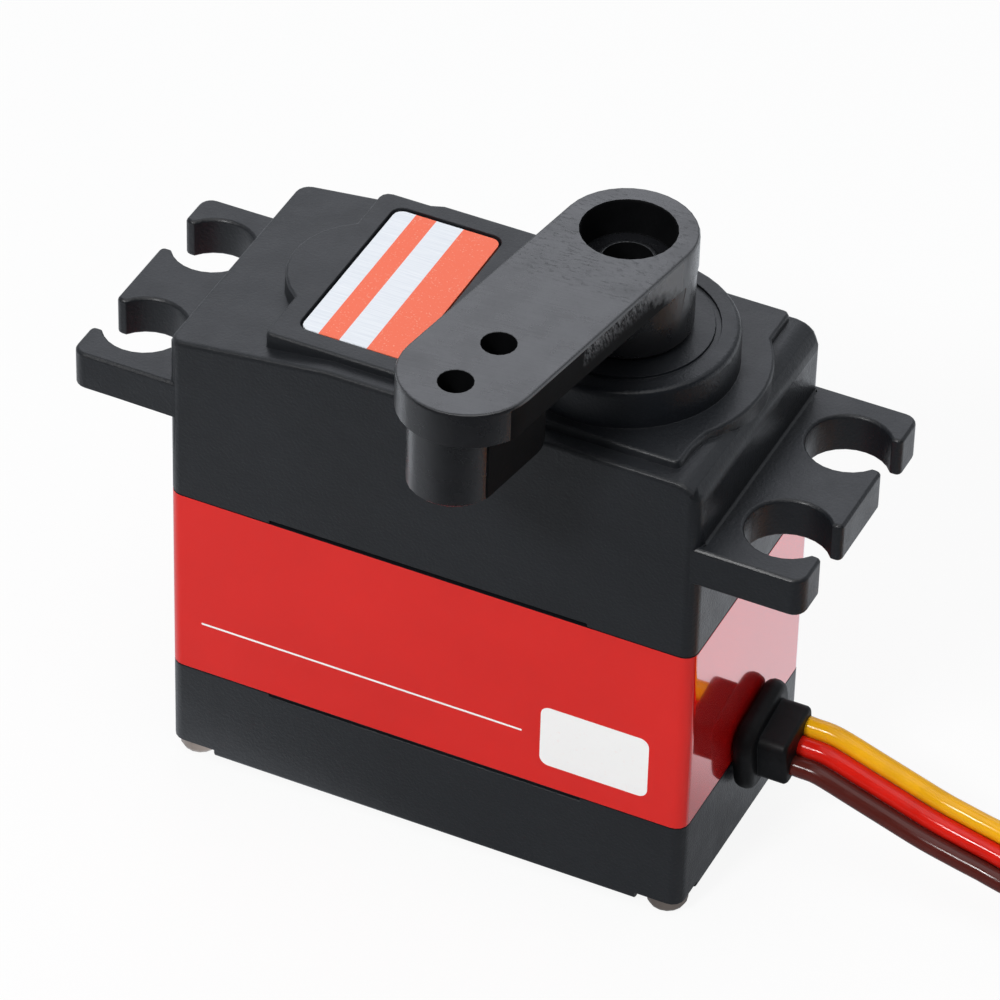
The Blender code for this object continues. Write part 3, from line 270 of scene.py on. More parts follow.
def wire(name, points, radius):
    """A round wire along a line of points, riding on the case."""
    curve = bpy.data.curves.new(name, "CURVE")
    curve.dimensions = "3D"
    curve.bevel_depth = 1.0
    curve.bevel_resolution = 6
    curve.use_fill_caps = True
    line = curve.splines.new("POLY")
    line.points.add(len(points) - 1)
    for spot, point in zip(line.points, points):
        spot.co = (*point, 1.0)
        spot.radius = radius * MM
    line.use_smooth = True
    obj = bpy.data.objects.new(name, curve)
    scene.collection.objects.link(obj)
    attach(obj, "case")
    return obj


wires = {}
for colour, side in LEAD_COLOURS.items():
    points = strand(side)
    wires[colour] = wire(f"lead_{colour}", points, WIRE_R)
    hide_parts(f"wire_{colour}", f"wire_{colour}_coil")

# %% [markdown]
# ## Nodes for the studio
#
# Floor, world and finishes are all small trees of shader nodes. They could be wired by hand in the
# node editor, but then the steps can't be read again. A few helpers make one node each and hand
# back its output, so that a tree reads like a sum.

# %% Node helpers
scene.view_settings.view_transform = "Standard"
TOWARDS_BACK = -AZIMUTH


def link(tree, out, into):
    tree.links.new(out, into)


def sums(tree, operation, first, second):
    """One sum of two sockets."""
    node = tree.nodes.new("ShaderNodeMath")
    node.operation = operation
    link(tree, first, node.inputs[0])
    link(tree, second, node.inputs[1])
    return node.outputs[0]


def rays(tree, *kinds):
    """1 for the named kinds of ray, else 0."""
    path = tree.nodes.new("ShaderNodeLightPath")
    total = path.outputs[kinds[0]]
    for kind in kinds[1:]:
        total = sums(tree, "MAXIMUM", total, path.outputs[kind])
    return total


def mix_shaders(tree, amount, first, second):
    mix = tree.nodes.new("ShaderNodeMixShader")
    link(tree, amount, mix.inputs["Fac"])
    link(tree, first, mix.inputs[1])
    link(tree, second, mix.inputs[2])
    return mix.outputs["Shader"]


def fade(tree, space, near, far, dim, full=1.0, axis="Y", turned=TOWARDS_BACK):
    """Goes from dim to full between two places on one axis, turned about the vertical."""
    place = tree.nodes.new("ShaderNodeTexCoord")
    turn = tree.nodes.new("ShaderNodeMapping")
    turn.inputs["Rotation"].default_value = (0.0, 0.0, turned)
    split = tree.nodes.new("ShaderNodeSeparateXYZ")
    step = tree.nodes.new("ShaderNodeMapRange")
    step.interpolation_type = "SMOOTHSTEP"
    step.inputs["From Min"].default_value = near
    step.inputs["From Max"].default_value = far
    step.inputs["To Min"].default_value = dim
    step.inputs["To Max"].default_value = full
    link(tree, place.outputs[space], turn.inputs["Vector"])
    link(tree, turn.outputs["Vector"], split.inputs["Vector"])
    link(tree, split.outputs[axis], step.inputs["Value"])
    return step.outputs["Result"]


print("view transform is", scene.view_settings.view_transform)

# %% [markdown]
# ## What the floor shows in a reflection
#
# Dark plastic looks like what it mirrors. Behind the servo lies bright paper, before it the paper
# darkens towards the photographer, and beside the right end it lies in the servo's own shade. Cards
# on stands could do this, but each would also throw light. So the floor's glow for glossy rays is a
# painted reflection: its strength fades from place to place, in metres on the floor, and its darker
# places are painted shade.

# %% Sheen of the floor
SHEEN_COLOUR = (0.90, 0.94, 1.0, 1.0)
HALF_TURN = TOWARDS_BACK / 2
MIDDLE_LINE = (-0.012, -0.008)
SIDES = (-0.045, 0.0)
FRONT_EDGE = (-0.085, -0.040)
END_SHADE = (0.0, 0.014)
END_SIDE = (0.010, 0.018)


def floor_sheen(tree):
    """Strength of the floor's painted glow in reflections, with painted shade in front and beside
    the end.
    """
    behind = fade(tree, "Object", *MIDDLE_LINE, 0.0, 1.0, turned=HALF_TURN)
    shade = fade(tree, "Object", *END_SHADE, 0.35, 1.0, "Y", 0.0)
    elsewhere = fade(tree, "Object", *END_SIDE, 1.0, 0.0, "X", 0.0)
    behind = sums(tree, "MULTIPLY", behind, sums(tree, "MAXIMUM", shade, elsewhere))
    front = fade(tree, "Object", *MIDDLE_LINE, 0.44, 0.0, turned=HALF_TURN)
    across = fade(tree, "Object", *SIDES, 1.12, 0.75, "X")
    paper_edge = fade(tree, "Object", *FRONT_EDGE, 0.15)
    front = sums(tree, "MULTIPLY", sums(tree, "MULTIPLY", front, across), paper_edge)
    return sums(tree, "ADD", front, behind)


print("sheen changes", [round(x / MM) for x in MIDDLE_LINE], "mm from the middle")

# %% [markdown]
# ## The paper floor
#
# The picture was taken on white. A floor whose colour alone is white turns grey in the shade, and
# more light would bleach the servo. So nine tenths of what the camera sees is a plain glow of
# strength 1, and the rest is lit paper that still catches a soft shadow.

# %% Paper floor
FLOOR_R = 2.5
FLOOR_GAP = 0.02
GLOW_SHARE = 0.9


def white_paper():
    found = bpy.data.materials.new("white_paper")
    found.use_nodes = True
    tree = found.node_tree
    lit = tree.nodes["Principled BSDF"]
    lit.inputs["Base Color"].default_value = (0.9, 0.9, 0.9, 1.0)
    lit.inputs["Roughness"].default_value = 0.9
    lit.inputs["Specular IOR Level"].default_value = 0.1
    glow = tree.nodes.new("ShaderNodeEmission")
    glow.inputs["Strength"].default_value = 1.0
    share = tree.nodes.new("ShaderNodeMath")
    share.operation = "MULTIPLY"
    share.inputs[1].default_value = GLOW_SHARE
    link(tree, rays(tree, "Is Camera Ray", "Is Transmission Ray"), share.inputs[0])
    paper = mix_shaders(tree, share.outputs[0], lit.outputs["BSDF"], glow.outputs["Emission"])
    sheen = tree.nodes.new("ShaderNodeEmission")
    sheen.inputs["Color"].default_value = SHEEN_COLOUR
    link(tree, floor_sheen(tree), sheen.inputs["Strength"])
    whole = mix_shaders(tree, rays(tree, "Is Glossy Ray"), paper, sheen.outputs["Emission"])
    link(tree, whole, tree.nodes["Material Output"].inputs["Surface"])
    return found


bm = bmesh.new()
bmesh.ops.create_circle(bm, cap_ends=True, segments=64, radius=FLOOR_R)
bmesh.ops.translate(bm, verts=bm.verts, vec=(0.0, 0.0, (STAND_Z - FLOOR_GAP) * MM))
floor_mesh = bpy.data.meshes.new("paper_floor")
bm.to_mesh(floor_mesh)
bm.free()
floor = bpy.data.objects.new("paper_floor", floor_mesh)
scene.collection.objects.link(floor)
floor_mesh.materials.append(white_paper())
print("floor at z", STAND_Z - FLOOR_GAP, "mm")

# %% [markdown]
# ## The room
#
# Beyond the floor the camera has to see the same white, while the servo is lit by a dim, even room.
# One background can't be both, so the world asks which ray is looking. Reflections get a third one,
# bright towards the back as a studio's wall is.

# %% White world
world = bpy.data.worlds.new("white_room")
scene.world = world
world.use_nodes = True
tree = world.node_tree
room = tree.nodes["Background"]
room.inputs["Color"].default_value = (0.96, 0.98, 1.0, 1.0)
room.inputs["Strength"].default_value = 0.35
beyond = tree.nodes.new("ShaderNodeBackground")
beyond.inputs["Strength"].default_value = 1.0
mirrored = tree.nodes.new("ShaderNodeBackground")
mirrored.inputs["Color"].default_value = SHEEN_COLOUR
link(tree, fade(tree, "Generated", -0.3, 0.35, 0.05, 0.55), mirrored.inputs["Strength"])
to_camera = rays(tree, "Is Camera Ray", "Is Transmission Ray")
seen = mix_shaders(tree, to_camera, room.outputs[0], beyond.outputs[0])
whole = mix_shaders(tree, rays(tree, "Is Glossy Ray"), seen, mirrored.outputs[0])
link(tree, whole, tree.nodes["World Output"].inputs["Surface"])
print("room light", round(room.inputs["Strength"].default_value, 2))

# %% [markdown]
# ## Softboxes
#
# A product is lit by large soft lamps, so that shadows have no hard edge. Points or suns would be
# simpler, but leave small, harsh glints. A large one behind and one overhead shape the body, and a
# small one in front leaves the bright dots on the wires. Each row has the lamp's place, its aim and
# its size in metres, its power in watts and its colour.

# %% Lamps
SOFTBOXES = {
    "back_top": ((-0.33, 0.72, 0.65), (0.0, 0.0, 0.03), (0.72, 0.5), 1.6, (0.90, 0.92, 1.0)),
    "overhead": ((0.1, -0.1, 1.0), (0.0, 0.0, 0.03), (0.8, 0.8), 3.0, (1.0, 1.0, 1.0)),
    "front_top": ((-0.05, -0.30, 0.30), (0.0, 0.0, 0.02), (0.065, 0.065), 0.8, (1.0, 1.0, 1.0)),
}
for name, (place, aim, size, watts, colour) in SOFTBOXES.items():
    lamp = bpy.data.lights.new(name, "AREA")
    lamp.color = colour
    lamp.shape = "RECTANGLE"
    lamp.size, lamp.size_y = size
    lamp.energy = watts
    obj = bpy.data.objects.new(name, lamp)
    scene.collection.objects.link(obj)
    obj.visible_camera = False
    obj.location = place
    obj.rotation_euler = (Vector(aim) - Vector(place)).to_track_quat("-Z", "Y").to_euler()
print("softboxes:", ", ".join(SOFTBOXES))

# %% [markdown]
# ## Finishes
#
# Moulded plastic is never one flat colour: the tool leaves a fine grain, and handling leaves dull
# patches. Image textures could show that, but they need unwrapping and blur close up. So each
# finish starts from a plain Principled shader with its constant values on its own sockets, and
# noise in millimetres moves the rest.

# %% Start a finish
SHADER = "Principled BSDF"


def shader_of(found):
    return found.node_tree.nodes[SHADER]


def finish(name, colour, rough, metal=0.0, **sockets):
    """A material with constant values; an underscore in a socket's name stands for a space."""
    found = bpy.data.materials.new(name)
    found.use_nodes = True
    shader = shader_of(found)
    shader.inputs["Base Color"].default_value = (*colour, 1.0)
    shader.inputs["Roughness"].default_value = rough
    shader.inputs["Metallic"].default_value = metal
    for socket, value in sockets.items():
        shader.inputs[socket.replace("_", " ")].default_value = value
    return found


def feed(found, **sources):
    """Links each source to the shader's socket of that name."""
    for socket, source in sources.items():
        link(found.node_tree, source, shader_of(found).inputs[socket.replace("_", " ")])


print("finishes start from", SHADER)

# %% [markdown]
# ## Noise and masks in millimetres
#
# Grain on the real servo has a size, so the noise is given in bumps to the millimetre. Object
# coordinates are the model's own metres and move along with a piece, where generated ones would
# stretch with its box. Masks pick out a stretch of one coordinate in the same millimetres.

# %% Noise, masks and bumps
EVEN = (1.0, 1.0, 1.0)
UNTURNED = (0.0, 0.0, 0.0)


def in_mm(found, stretch=EVEN, turn=UNTURNED):
    """Object coordinates in millimetres."""
    tree = found.node_tree
    place = tree.nodes.new("ShaderNodeTexCoord")
    scale = tree.nodes.new("ShaderNodeMapping")
    scale.vector_type = "TEXTURE"
    scale.inputs["Scale"].default_value = [MM / s for s in stretch]
    scale.inputs["Rotation"].default_value = turn
    link(tree, place.outputs["Object"], scale.inputs["Vector"])
    return scale.outputs["Vector"]


def grain(found, per_mm, detail=3.0, rough=0.55, stretch=EVEN, turn=UNTURNED):
    """Noise with per_mm bumps to the millimetre."""
    tree = found.node_tree
    noise = tree.nodes.new("ShaderNodeTexNoise")
    noise.inputs["Scale"].default_value = per_mm
    noise.inputs["Detail"].default_value = detail
    noise.inputs["Roughness"].default_value = rough
    link(tree, in_mm(found, stretch, turn), noise.inputs["Vector"])
    return noise.outputs["Fac"]


def ramp(found, value, low, high, start=0.3, end=0.7):
    """Maps a value between start and end onto a range of numbers, held at both ends."""
    tree = found.node_tree
    node = tree.nodes.new("ShaderNodeMapRange")
    node.inputs["From Min"].default_value = start
    node.inputs["From Max"].default_value = end
    node.inputs["To Min"].default_value = low
    node.inputs["To Max"].default_value = high
    link(tree, value, node.inputs["Value"])
    return node.outputs["Result"]


def coordinate(found, axis):
    """One coordinate of a point, in millimetres."""
    tree = found.node_tree
    split = tree.nodes.new("ShaderNodeSeparateXYZ")
    link(tree, in_mm(found), split.inputs["Vector"])
    return split.outputs[axis]


def both(found, first, second):
    return sums(found.node_tree, "MULTIPLY", first, second)


def between(found, axis, low, high):
    """1 where one coordinate in millimetres lies between two values, fading at both."""
    rise = ramp(found, coordinate(found, axis), 0.0, 1.0, low - 0.1, low + 0.1)
    fall = ramp(found, coordinate(found, axis), 1.0, 0.0, high - 0.5, high)
    return both(found, rise, fall)


print("noise and masks count in units of", MM, "m")

# %% [markdown]
# ## Colour and relief
#
# A finish changes in tone from spot to spot, and its grain catches the light. Two colours are mixed
# by a noise, and a bump turns the same noise into relief. Real displacement would need millions of
# faces for a grain that is a few hundredths of a millimetre deep.

# %% Blends and bumps


def blend(found, amount, first, second):
    """Mixes two colours, each a tuple or a socket."""
    tree = found.node_tree
    node = tree.nodes.new("ShaderNodeMix")
    node.data_type = "RGBA"
    link(tree, amount, node.inputs["Factor"])
    for socket, colour in ((node.inputs[6], first), (node.inputs[7], second)):
        if isinstance(colour, tuple):
            socket.default_value = (*colour, 1.0)
        else:
            link(tree, colour, socket)
    return node.outputs[2]


def mottle(found, per_mm, detail, first, second):
    """Two tones mixed by a noise."""
    return blend(found, ramp(found, grain(found, per_mm, detail), 0.0, 1.0), first, second)


def raise_by(found, height, depth_mm, strength=1.0, under=None):
    """Bump of a given depth in millimetres, on top of another if one is given."""
    tree = found.node_tree
    node = tree.nodes.new("ShaderNodeBump")
    node.inputs["Strength"].default_value = strength
    node.inputs["Distance"].default_value = depth_mm * MM
    link(tree, height, node.inputs["Height"])
    if under is not None:
        link(tree, under, node.inputs["Normal"])
    return node.outputs["Normal"]


def shaded(colour, share):
    """A colour at a share of its strength, at most white."""
    return tuple(min(share * c, 1.0) for c in colour)


print("white at four fifths is", shaded((1.0, 1.0, 1.0), 0.8))

# %% [markdown]
# ## Cover plastic
#
# The covers are glass-filled nylon: near black with a hint of blue, and a fine spark-eroded grain
# that breaks up every reflection. A plain dark colour would look like painted card. Slow clouds of
# tone, specks of dust and the grain are one noise each. The output boss and the end walls come from
# smoother steel, so they get the same finish with less roughness and no coat.

# %% Black shells


def shell_black(name, rough, coat):
    deep, pale, dusty = (0.0064, 0.0077, 0.0102), (0.0088, 0.0105, 0.0136), (0.04, 0.044, 0.05)
    found = finish(
        name, (0.0075, 0.009, 0.0118), rough,
        Specular_IOR_Level=0.42, Coat_Weight=coat, Coat_Roughness=0.27,
    )
    dust = ramp(found, grain(found, 5.0, 2.0), 0.0, 0.5, 0.70, 0.80)
    feed(found, Base_Color=blend(found, dust, mottle(found, 0.12, 3.0, deep, pale), dusty))
    feed(found, Roughness=ramp(found, grain(found, 0.5, 5.0), rough - 0.02, rough + 0.08))
    feed(found, Normal=raise_by(found, grain(found, 4.0, 3.0, 0.65), 0.045))
    return found


SHELL = shell_black("shell_black", 0.46, 0.22)
SMOOTH = shell_black("smooth_black", 0.30, 0.0)
print("black shells:", SHELL.name, SMOOTH.name)

# %% [markdown]
# ## Horn plastic
#
# The horn comes from a polished tool, so it shines more than the case. Use leaves scratches along
# the arm and small pits beside the hub. Scratches could be thin strips of mesh, but a noise that is
# drawn out along the arm does the same for the whole top at once.

# %% Glossy horn black


def horn_black():
    plain, pitted = (0.0085, 0.009, 0.0108), (0.0045, 0.005, 0.006)
    found = finish("horn_black", plain, 0.26, Specular_IOR_Level=0.85)
    along = (0.0, 0.0, math.radians(6.0))
    scratch = grain(found, 1.0, 4.0, 0.7, (0.22, 6.0, 1.0), along)
    marks = ramp(found, scratch, 0.0, 1.0, 0.45, 0.75)
    holes = ramp(found, grain(found, 2.2, 4.0, 0.7, (0.6, 2.0, 1.0)), 0.0, 1.0, 0.57, 0.66)
    pits = both(found, between(found, "Y", -7.5, 4.0), holes)
    feed(found, Base_Color=blend(found, pits, plain, pitted))
    feed(found, Roughness=ramp(found, grain(found, 0.35, 4.0), 0.21, 0.34))
    grown = raise_by(found, grain(found, 3.5, 4.0, 0.6), 0.008, 0.3)
    worn = raise_by(found, marks, 0.010, 0.5, grown)
    feed(found, Normal=raise_by(found, pits, 0.012, 0.5, worn))
    return found


HORN = horn_black()
print("horn's finish has", len(HORN.node_tree.nodes), "nodes")

# %% [markdown]
# ## Matt black of bores and of the arm's side
#
# Where a rough core slid out of the mould, the horn is matt: in its holes, on the web under the arm
# and on the arm's side. In the holes its darker tone is also painted shade. Beside the hub that
# side has a pale patch that is a painted reflection, and flash was torn off below its upper edge.
# The torn flash could be modelled, but it is a skin of a few hundredths of a millimetre, so one
# mask colours it and also raises a bump, and another mask colours the painted reflection.

# %% Matt horn blacks
ARM_LOW = 47.25
TORN_END = -13.1
PAINTED_REFLECTION_PALE = (0.22, 0.226, 0.236)
TORN_PALE = (0.19, 0.195, 0.205)


def matt_black(name):
    """A matt finish with its tone and its skin, not yet linked."""
    found = finish(name, (0.003, 0.0032, 0.0038), 0.62, Specular_IOR_Level=0.11)
    # This tone is darker than the horn's black. It is the matt core finish, and in the holes it is
    # also painted shade.
    tone = mottle(found, 0.6, 3.0, (0.0022, 0.0024, 0.0028), (0.0038, 0.004, 0.0046))
    skin = raise_by(found, grain(found, 3.0, 3.0), 0.02, 0.5)
    return found, tone, skin


def bore_black():
    found, tone, skin = matt_black("bore_black")
    feed(found, Base_Color=tone, Normal=skin)
    return found


def arm_side_black():
    found, tone, skin = matt_black("arm_side_black")
    tree = found.node_tree
    up = ramp(found, coordinate(found, "Z"), 0.0, 0.39, ARM_LOW, ARM_LOW + 2.8)
    to_hub = ramp(found, coordinate(found, "Y"), 0.0, 1.0, TORN_END, -1.5)
    patchy = ramp(found, grain(found, 1.6, 4.0), -0.06, 0.06)
    place = sums(tree, "ADD", sums(tree, "ADD", up, to_hub), patchy)
    # Pale patch beside the hub, paler up the side and towards the hub: a painted reflection.
    painted_reflection = ramp(found, place, 0.0, 1.0, 0.85, 1.06)
    upper = ramp(found, coordinate(found, "Z"), 0.0, 1.0, ARM_LOW + 0.9, ARM_LOW + 2.3)
    streak = grain(found, 3.4, 5.0, 0.7, (1.0, 1.5, 0.5), (0.5, 0.0, 0.0))
    strip = both(found, upper, between(found, "Y", TORN_END, -3.0))
    torn = both(found, strip, ramp(found, streak, 0.0, 1.0, 0.42, 0.62))
    feed(found, Base_Color=blend(found, painted_reflection, blend(found, torn, tone, TORN_PALE), PAINTED_REFLECTION_PALE))
    feed(found, Normal=raise_by(found, torn, 0.03, 0.6, skin))
    return found


BORE = bore_black()
ARM_SIDE = arm_side_black()
print("matt blacks:", BORE.name, ARM_SIDE.name)

# %% [markdown]
# ## Red film
#
# The middle case is wrapped in a red foil. On the front it is satin, and on the ends it is glossy
# enough to mirror the grommet. One finish for both would be wrong on one of them, so there are two
# from the same function. The glossy one is part metal, which tints its reflections, under a clear
# coat. Its red is also paler than the front's, and that difference is painted light on the ends.

# %% Red films


def red_film(name, colour, rough, wave, **sockets):
    found = finish(name, colour, rough, **sockets)
    feed(found, Base_Color=mottle(found, 0.10, 3.0, shaded(colour, 0.93), colour))
    feed(found, Normal=raise_by(found, grain(found, 0.35, 2.0), wave, 0.25))
    return found


RED_FACE = red_film(
    "red_film_face", (0.69, 0.015, 0.011), 0.32, 0.006, Specular_IOR_Level=0.3,
)
# The end film's paler red is painted light from the right.
RED_END = red_film(
    "red_film_end", (0.86, 0.008, 0.008), 0.10, 0.001, metal=0.4, IOR=1.75,
    Coat_Weight=1.0, Coat_Roughness=0.03, Coat_IOR=1.75,
)
print("red films:", RED_FACE.name, RED_END.name)

# %% [markdown]
# ## Grommet rubber
#
# Soft rubber is the darkest piece: it hardly shines, and a pale bloom lies on it in patches. Less
# specular light says more about it than a darker colour would, so that is a constant on the shader,
# and noise moves the bloom, the roughness and the grain.

# %% Rubber


def grommet_rubber():
    clean, bloomed = (0.0034, 0.0038, 0.0047), (0.007, 0.0076, 0.009)
    found = finish("grommet_rubber", (0.004, 0.0044, 0.0054), 0.5, Specular_IOR_Level=0.22)
    bloom = ramp(found, grain(found, 0.8, 5.0), 0.0, 1.0, 0.45, 0.75)
    feed(found, Base_Color=blend(found, bloom, clean, bloomed))
    feed(found, Roughness=ramp(found, grain(found, 0.6, 5.0), 0.42, 0.62))
    feed(found, Normal=raise_by(found, grain(found, 4.0, 4.0, 0.6), 0.03, 0.4))
    return found


RUBBER = grommet_rubber()
print("rubber has", len(RUBBER.node_tree.nodes), "nodes")

# %% [markdown]
# ## Wire insulation
#
# Soft vinyl has a waxy gloss, so a small lamp leaves one bright spot on a wire. A clear coat would
# add a second spot beside it, so the shader's own gloss has to do. The extrusion leaves a slow
# change of tone along the wire, which a noise in millimetres gives.

# %% Insulation


def insulation(name, colour, rough):
    found = finish(name, colour, rough, Specular_IOR_Level=0.28)
    feed(found, Base_Color=mottle(found, 0.35, 4.0, shaded(colour, 0.82), colour))
    feed(found, Roughness=ramp(found, grain(found, 0.8, 4.0), rough - 0.04, rough + 0.08))
    feed(found, Normal=raise_by(found, grain(found, 1.6, 3.0), 0.002, 0.2))
    return found


INSULATION = {
    "brown": insulation("insulation_brown", (0.095, 0.016, 0.012), 0.16),
    "red": insulation("insulation_red", (0.74, 0.014, 0.007), 0.15),
    "yellow": insulation("insulation_yellow", (0.95, 0.47, 0.008), 0.15),
}
for colour, obj in wires.items():
    obj.data.materials.append(INSULATION[colour])
print("insulation on", ", ".join(obj.name for obj in wires.values()))

# %% [markdown]
# ## Rounded copies of the visible shells
#
# A moulding has no knife edge: each corner is a thin round that catches a line of light. A bevel
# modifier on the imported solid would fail, because that is made of split flat triangles. So a copy
# is welded, its flat faces are joined, and its sharp edges get a small bevel. Weighted normals then
# keep the large faces flat. The copy stands in for its node, and moves with the node's body.

# %% Rounded copies
WELD = 0.002
FLAT_ANGLE = math.radians(0.6)


def shade(bm, angle):
    """Smooth faces, with a hard line on edges that turn by more than angle degrees."""
    for face in bm.faces:
        face.smooth = True
    for edge in bm.edges:
        edge.smooth = edge.calc_face_angle(0.0) < math.radians(angle)


def add_piece(bm, name, surface, body):
    """Makes a piece of a finished bmesh, riding on a body."""
    mesh = bpy.data.meshes.new(name)
    bm.to_mesh(mesh)
    bm.free()
    obj = bpy.data.objects.new(name, mesh)
    scene.collection.objects.link(obj)
    mesh.materials.append(surface)
    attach(obj, body)
    print(name, "has", len(mesh.polygons), "faces and rides on", body)
    return obj


def round_edges(bm, width, from_angle, leave):
    """Bevels the edges that turn by more than from_angle degrees, but for those to leave."""
    limit = math.radians(from_angle)
    sharp = [e for e in bm.edges if len(e.link_faces) == 2 and e.calc_face_angle(0.0) > limit]
    sharp = [e for e in sharp if leave is None or not leave(e)]
    bmesh.ops.bevel(
        bm, geom=sharp, offset=width * MM, segments=2, profile=0.5, affect="EDGES",
        clamp_overlap=False,
    )
    bmesh.ops.dissolve_degenerate(bm, dist=0.0005 * MM, edges=bm.edges)


def rounded_copy(node, surface, width, angle=40.0, from_angle=40.0, leave=None):
    """A welded copy of a node with its sharp edges rounded, standing in the node's place."""
    bm = bmesh.new()
    bm.from_mesh(frame["nodes"][node].data)
    bmesh.ops.remove_doubles(bm, verts=bm.verts, dist=WELD * MM)
    bmesh.ops.dissolve_limit(bm, angle_limit=FLAT_ANGLE, verts=bm.verts, edges=bm.edges)
    if width:
        round_edges(bm, width, from_angle, leave)
    shade(bm, angle)
    bodies = frame["record"]["behaviour"]["bodies"]
    obj = add_piece(bm, f"{node}_dressed", surface, next(b for b in bodies if node in bodies[b]))
    weighted = obj.modifiers.new("flat_faces", "WEIGHTED_NORMAL")
    weighted.keep_sharp = True
    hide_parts(node)
    return obj


print("copies are welded at", WELD, "mm")

# %% [markdown]
# ## The two black covers
#
# The gear cover carries the ears and the output boss, and the base closes the case from below. They
# could be cut apart where the finish changes, but a moulding is one piece. So each cover has two
# material slots, and every face picks one by its place and the way it looks.

# %% Covers
OUTPUT = Vector((9.7, 0.0))
COVER_ROUND = 0.07
BOSS_FOOT = 39.9
BOSS_REACH = 8.3
END_WALL = (20.0, 20.5)


def from_axis(point, axis=OUTPUT):
    """Distance in millimetres from an upright axis, by default the output's."""
    return (point.xy / MM - Vector(axis)).length


def is_smooth(face):
    """True on the boss's side and rounds, and on the case's end walls."""
    near_boss = face.center.z > BOSS_FOOT * MM and from_axis(face.center) < BOSS_REACH
    at_end = END_WALL[0] * MM < abs(face.center.x) < END_WALL[1] * MM
    return (near_boss and face.normal.z < 0.97) or (at_end and abs(face.normal.x) > 0.98)


covers = [rounded_copy(node, SHELL, COVER_ROUND) for node in ("gear_cover", "bottom_cover")]
for cover in covers:
    cover.data.materials.append(SMOOTH)
    for face in cover.data.polygons:
        face.material_index = int(is_smooth(face))
    print(cover.name, "has", sum(f.material_index for f in cover.data.polygons), "smooth faces")

# %% [markdown]
# ## The red middle case
#
# The middle case is black nylon under the red film, which shows only on its outer walls. The film
# could be a thin second shell, but the two would touch all over and flicker. So the walls that look
# outwards get the satin or the glossy film, and every other face stays black.

# %% Film on the middle case
WRAP_X, WRAP_Y = HALF_L - 1.1, 10.3 - 1.1
FILM_ROUND = 0.05
FACE_SLOT, END_SLOT, BARE_SLOT = range(3)

middle = rounded_copy("middle_case", RED_FACE, FILM_ROUND)
middle.data.materials.append(RED_END)
middle.data.materials.append(SHELL)
for face in middle.data.polygons:
    outside = abs(face.center.x) > WRAP_X * MM or abs(face.center.y) > WRAP_Y * MM
    upright = outside and abs(face.normal.z) < 0.9
    wrapped = upright and face.normal.xy.dot(face.center.xy) > 0.0
    film = END_SLOT if abs(face.normal.x) > 0.95 else FACE_SLOT
    face.material_index = film if wrapped else BARE_SLOT
filmed = sum(f.material_index != BARE_SLOT for f in middle.data.polygons)
print("film covers", filmed, "faces of the middle case")

# %% [markdown]
# ## The horn
#
# The horn is one moulding: a hub on the output shaft and an arm with two link holes. Its copy is
# rounded like the covers, except for the rim where the arm lies on the hub. A ledge of two
# hundredths of a millimetre is left there, and a bevel would run over it and leave a crack.

# %% Copy of the horn
HUB_REACH = 4.9
HORN_ROUND = 0.08


def hub_root(edge):
    """The hub's upper rim, where the arm lies on it and leaves no room for a round."""
    at_rim = [abs(v.co.z / MM - ARM_LOW) < 0.02 and from_axis(v.co) < HUB_REACH for v in edge.verts]
    return all(at_rim)


horn = rounded_copy("servo_horn", HORN, HORN_ROUND, 35.0, 60.0, hub_root)
horn.data.materials.append(BORE)
horn.data.materials.append(ARM_SIDE)
print("horn has", len(horn.data.materials), "finishes")

# %% [markdown]
# ## Draft of the arm
#
# A moulded arm narrows a little towards its lower edge, or it would stick in the tool. A taper
# modifier would tilt the hub as well, so the copy's own points are moved: inwards, by the tangent
# of the draft for each millimetre below the upper edge. Towards the hub and the tip the draft fades
# out.

# %% Draft the arm's sides
ARM_TURN = math.radians(-8.9)
ARM_AHEAD = Vector((math.sin(ARM_TURN), -math.cos(ARM_TURN)))
ARM_RIGHT = Vector((-ARM_AHEAD.y, ARM_AHEAD.x))
ARM_REACH = 19.05
SIDE_TOP = 50.05 - 0.2
DRAFT = math.tan(math.radians(4.0))
DRAFT_FROM, DRAFT_FULL = 2.0, 6.0
drafted = 0


def held(share):
    return min(max(share, 0.0), 1.0)


for vertex in horn.data.vertices:
    spot = vertex.co.xy / MM - OUTPUT
    out = spot.dot(ARM_AHEAD)
    aside = spot - ARM_AHEAD * min(max(out, 0.0), ARM_REACH)
    z = vertex.co.z / MM
    if ARM_LOW - 0.05 < z < SIDE_TOP and aside.length > 4.5:
        near_hub = held((out - DRAFT_FROM) / (DRAFT_FULL - DRAFT_FROM))
        near_tip = held(ARM_REACH + 1.0 - out)
        vertex.co.xy -= aside.normalized() * (DRAFT * near_hub * near_tip * (SIDE_TOP - z) * MM)
        drafted += near_hub * near_tip > 0.0
print(drafted, "points of the arm drafted, by up to", round(DRAFT * (SIDE_TOP - ARM_LOW), 2), "mm")

# %% [markdown]
# ## Matt faces of the horn
#
# The well in the hub, the link holes and the arm's right side are matt. The side is one long face
# that also reaches round the hub, so it is cut across first. A knife cut by hand would be lost at
# the next run, while a bisecting plane is a line of the script. Then each face picks its slot.

# %% Slots on the horn
SIDE_FROM = 0.6
SIDE_AREA = 20.0
WELL_REACH = 3.35
LIP_REACH = 2.2
LINK_REACH = 1.3
LINK_HOLES = [(6.53, -20.25), (7.30, -15.31)]
HORN_SLOT, BORE_SLOT, SIDE_SLOT = range(3)


def on_side(normal, center):
    """True on the arm's right side and the first facets of its tip there."""
    out = (center.xy / MM - OUTPUT).dot(ARM_AHEAD)
    looks_right = normal.xy.dot(ARM_RIGHT) > 0.95 and center.z > ARM_LOW * MM
    return looks_right and SIDE_FROM < out < ARM_REACH + 1.3


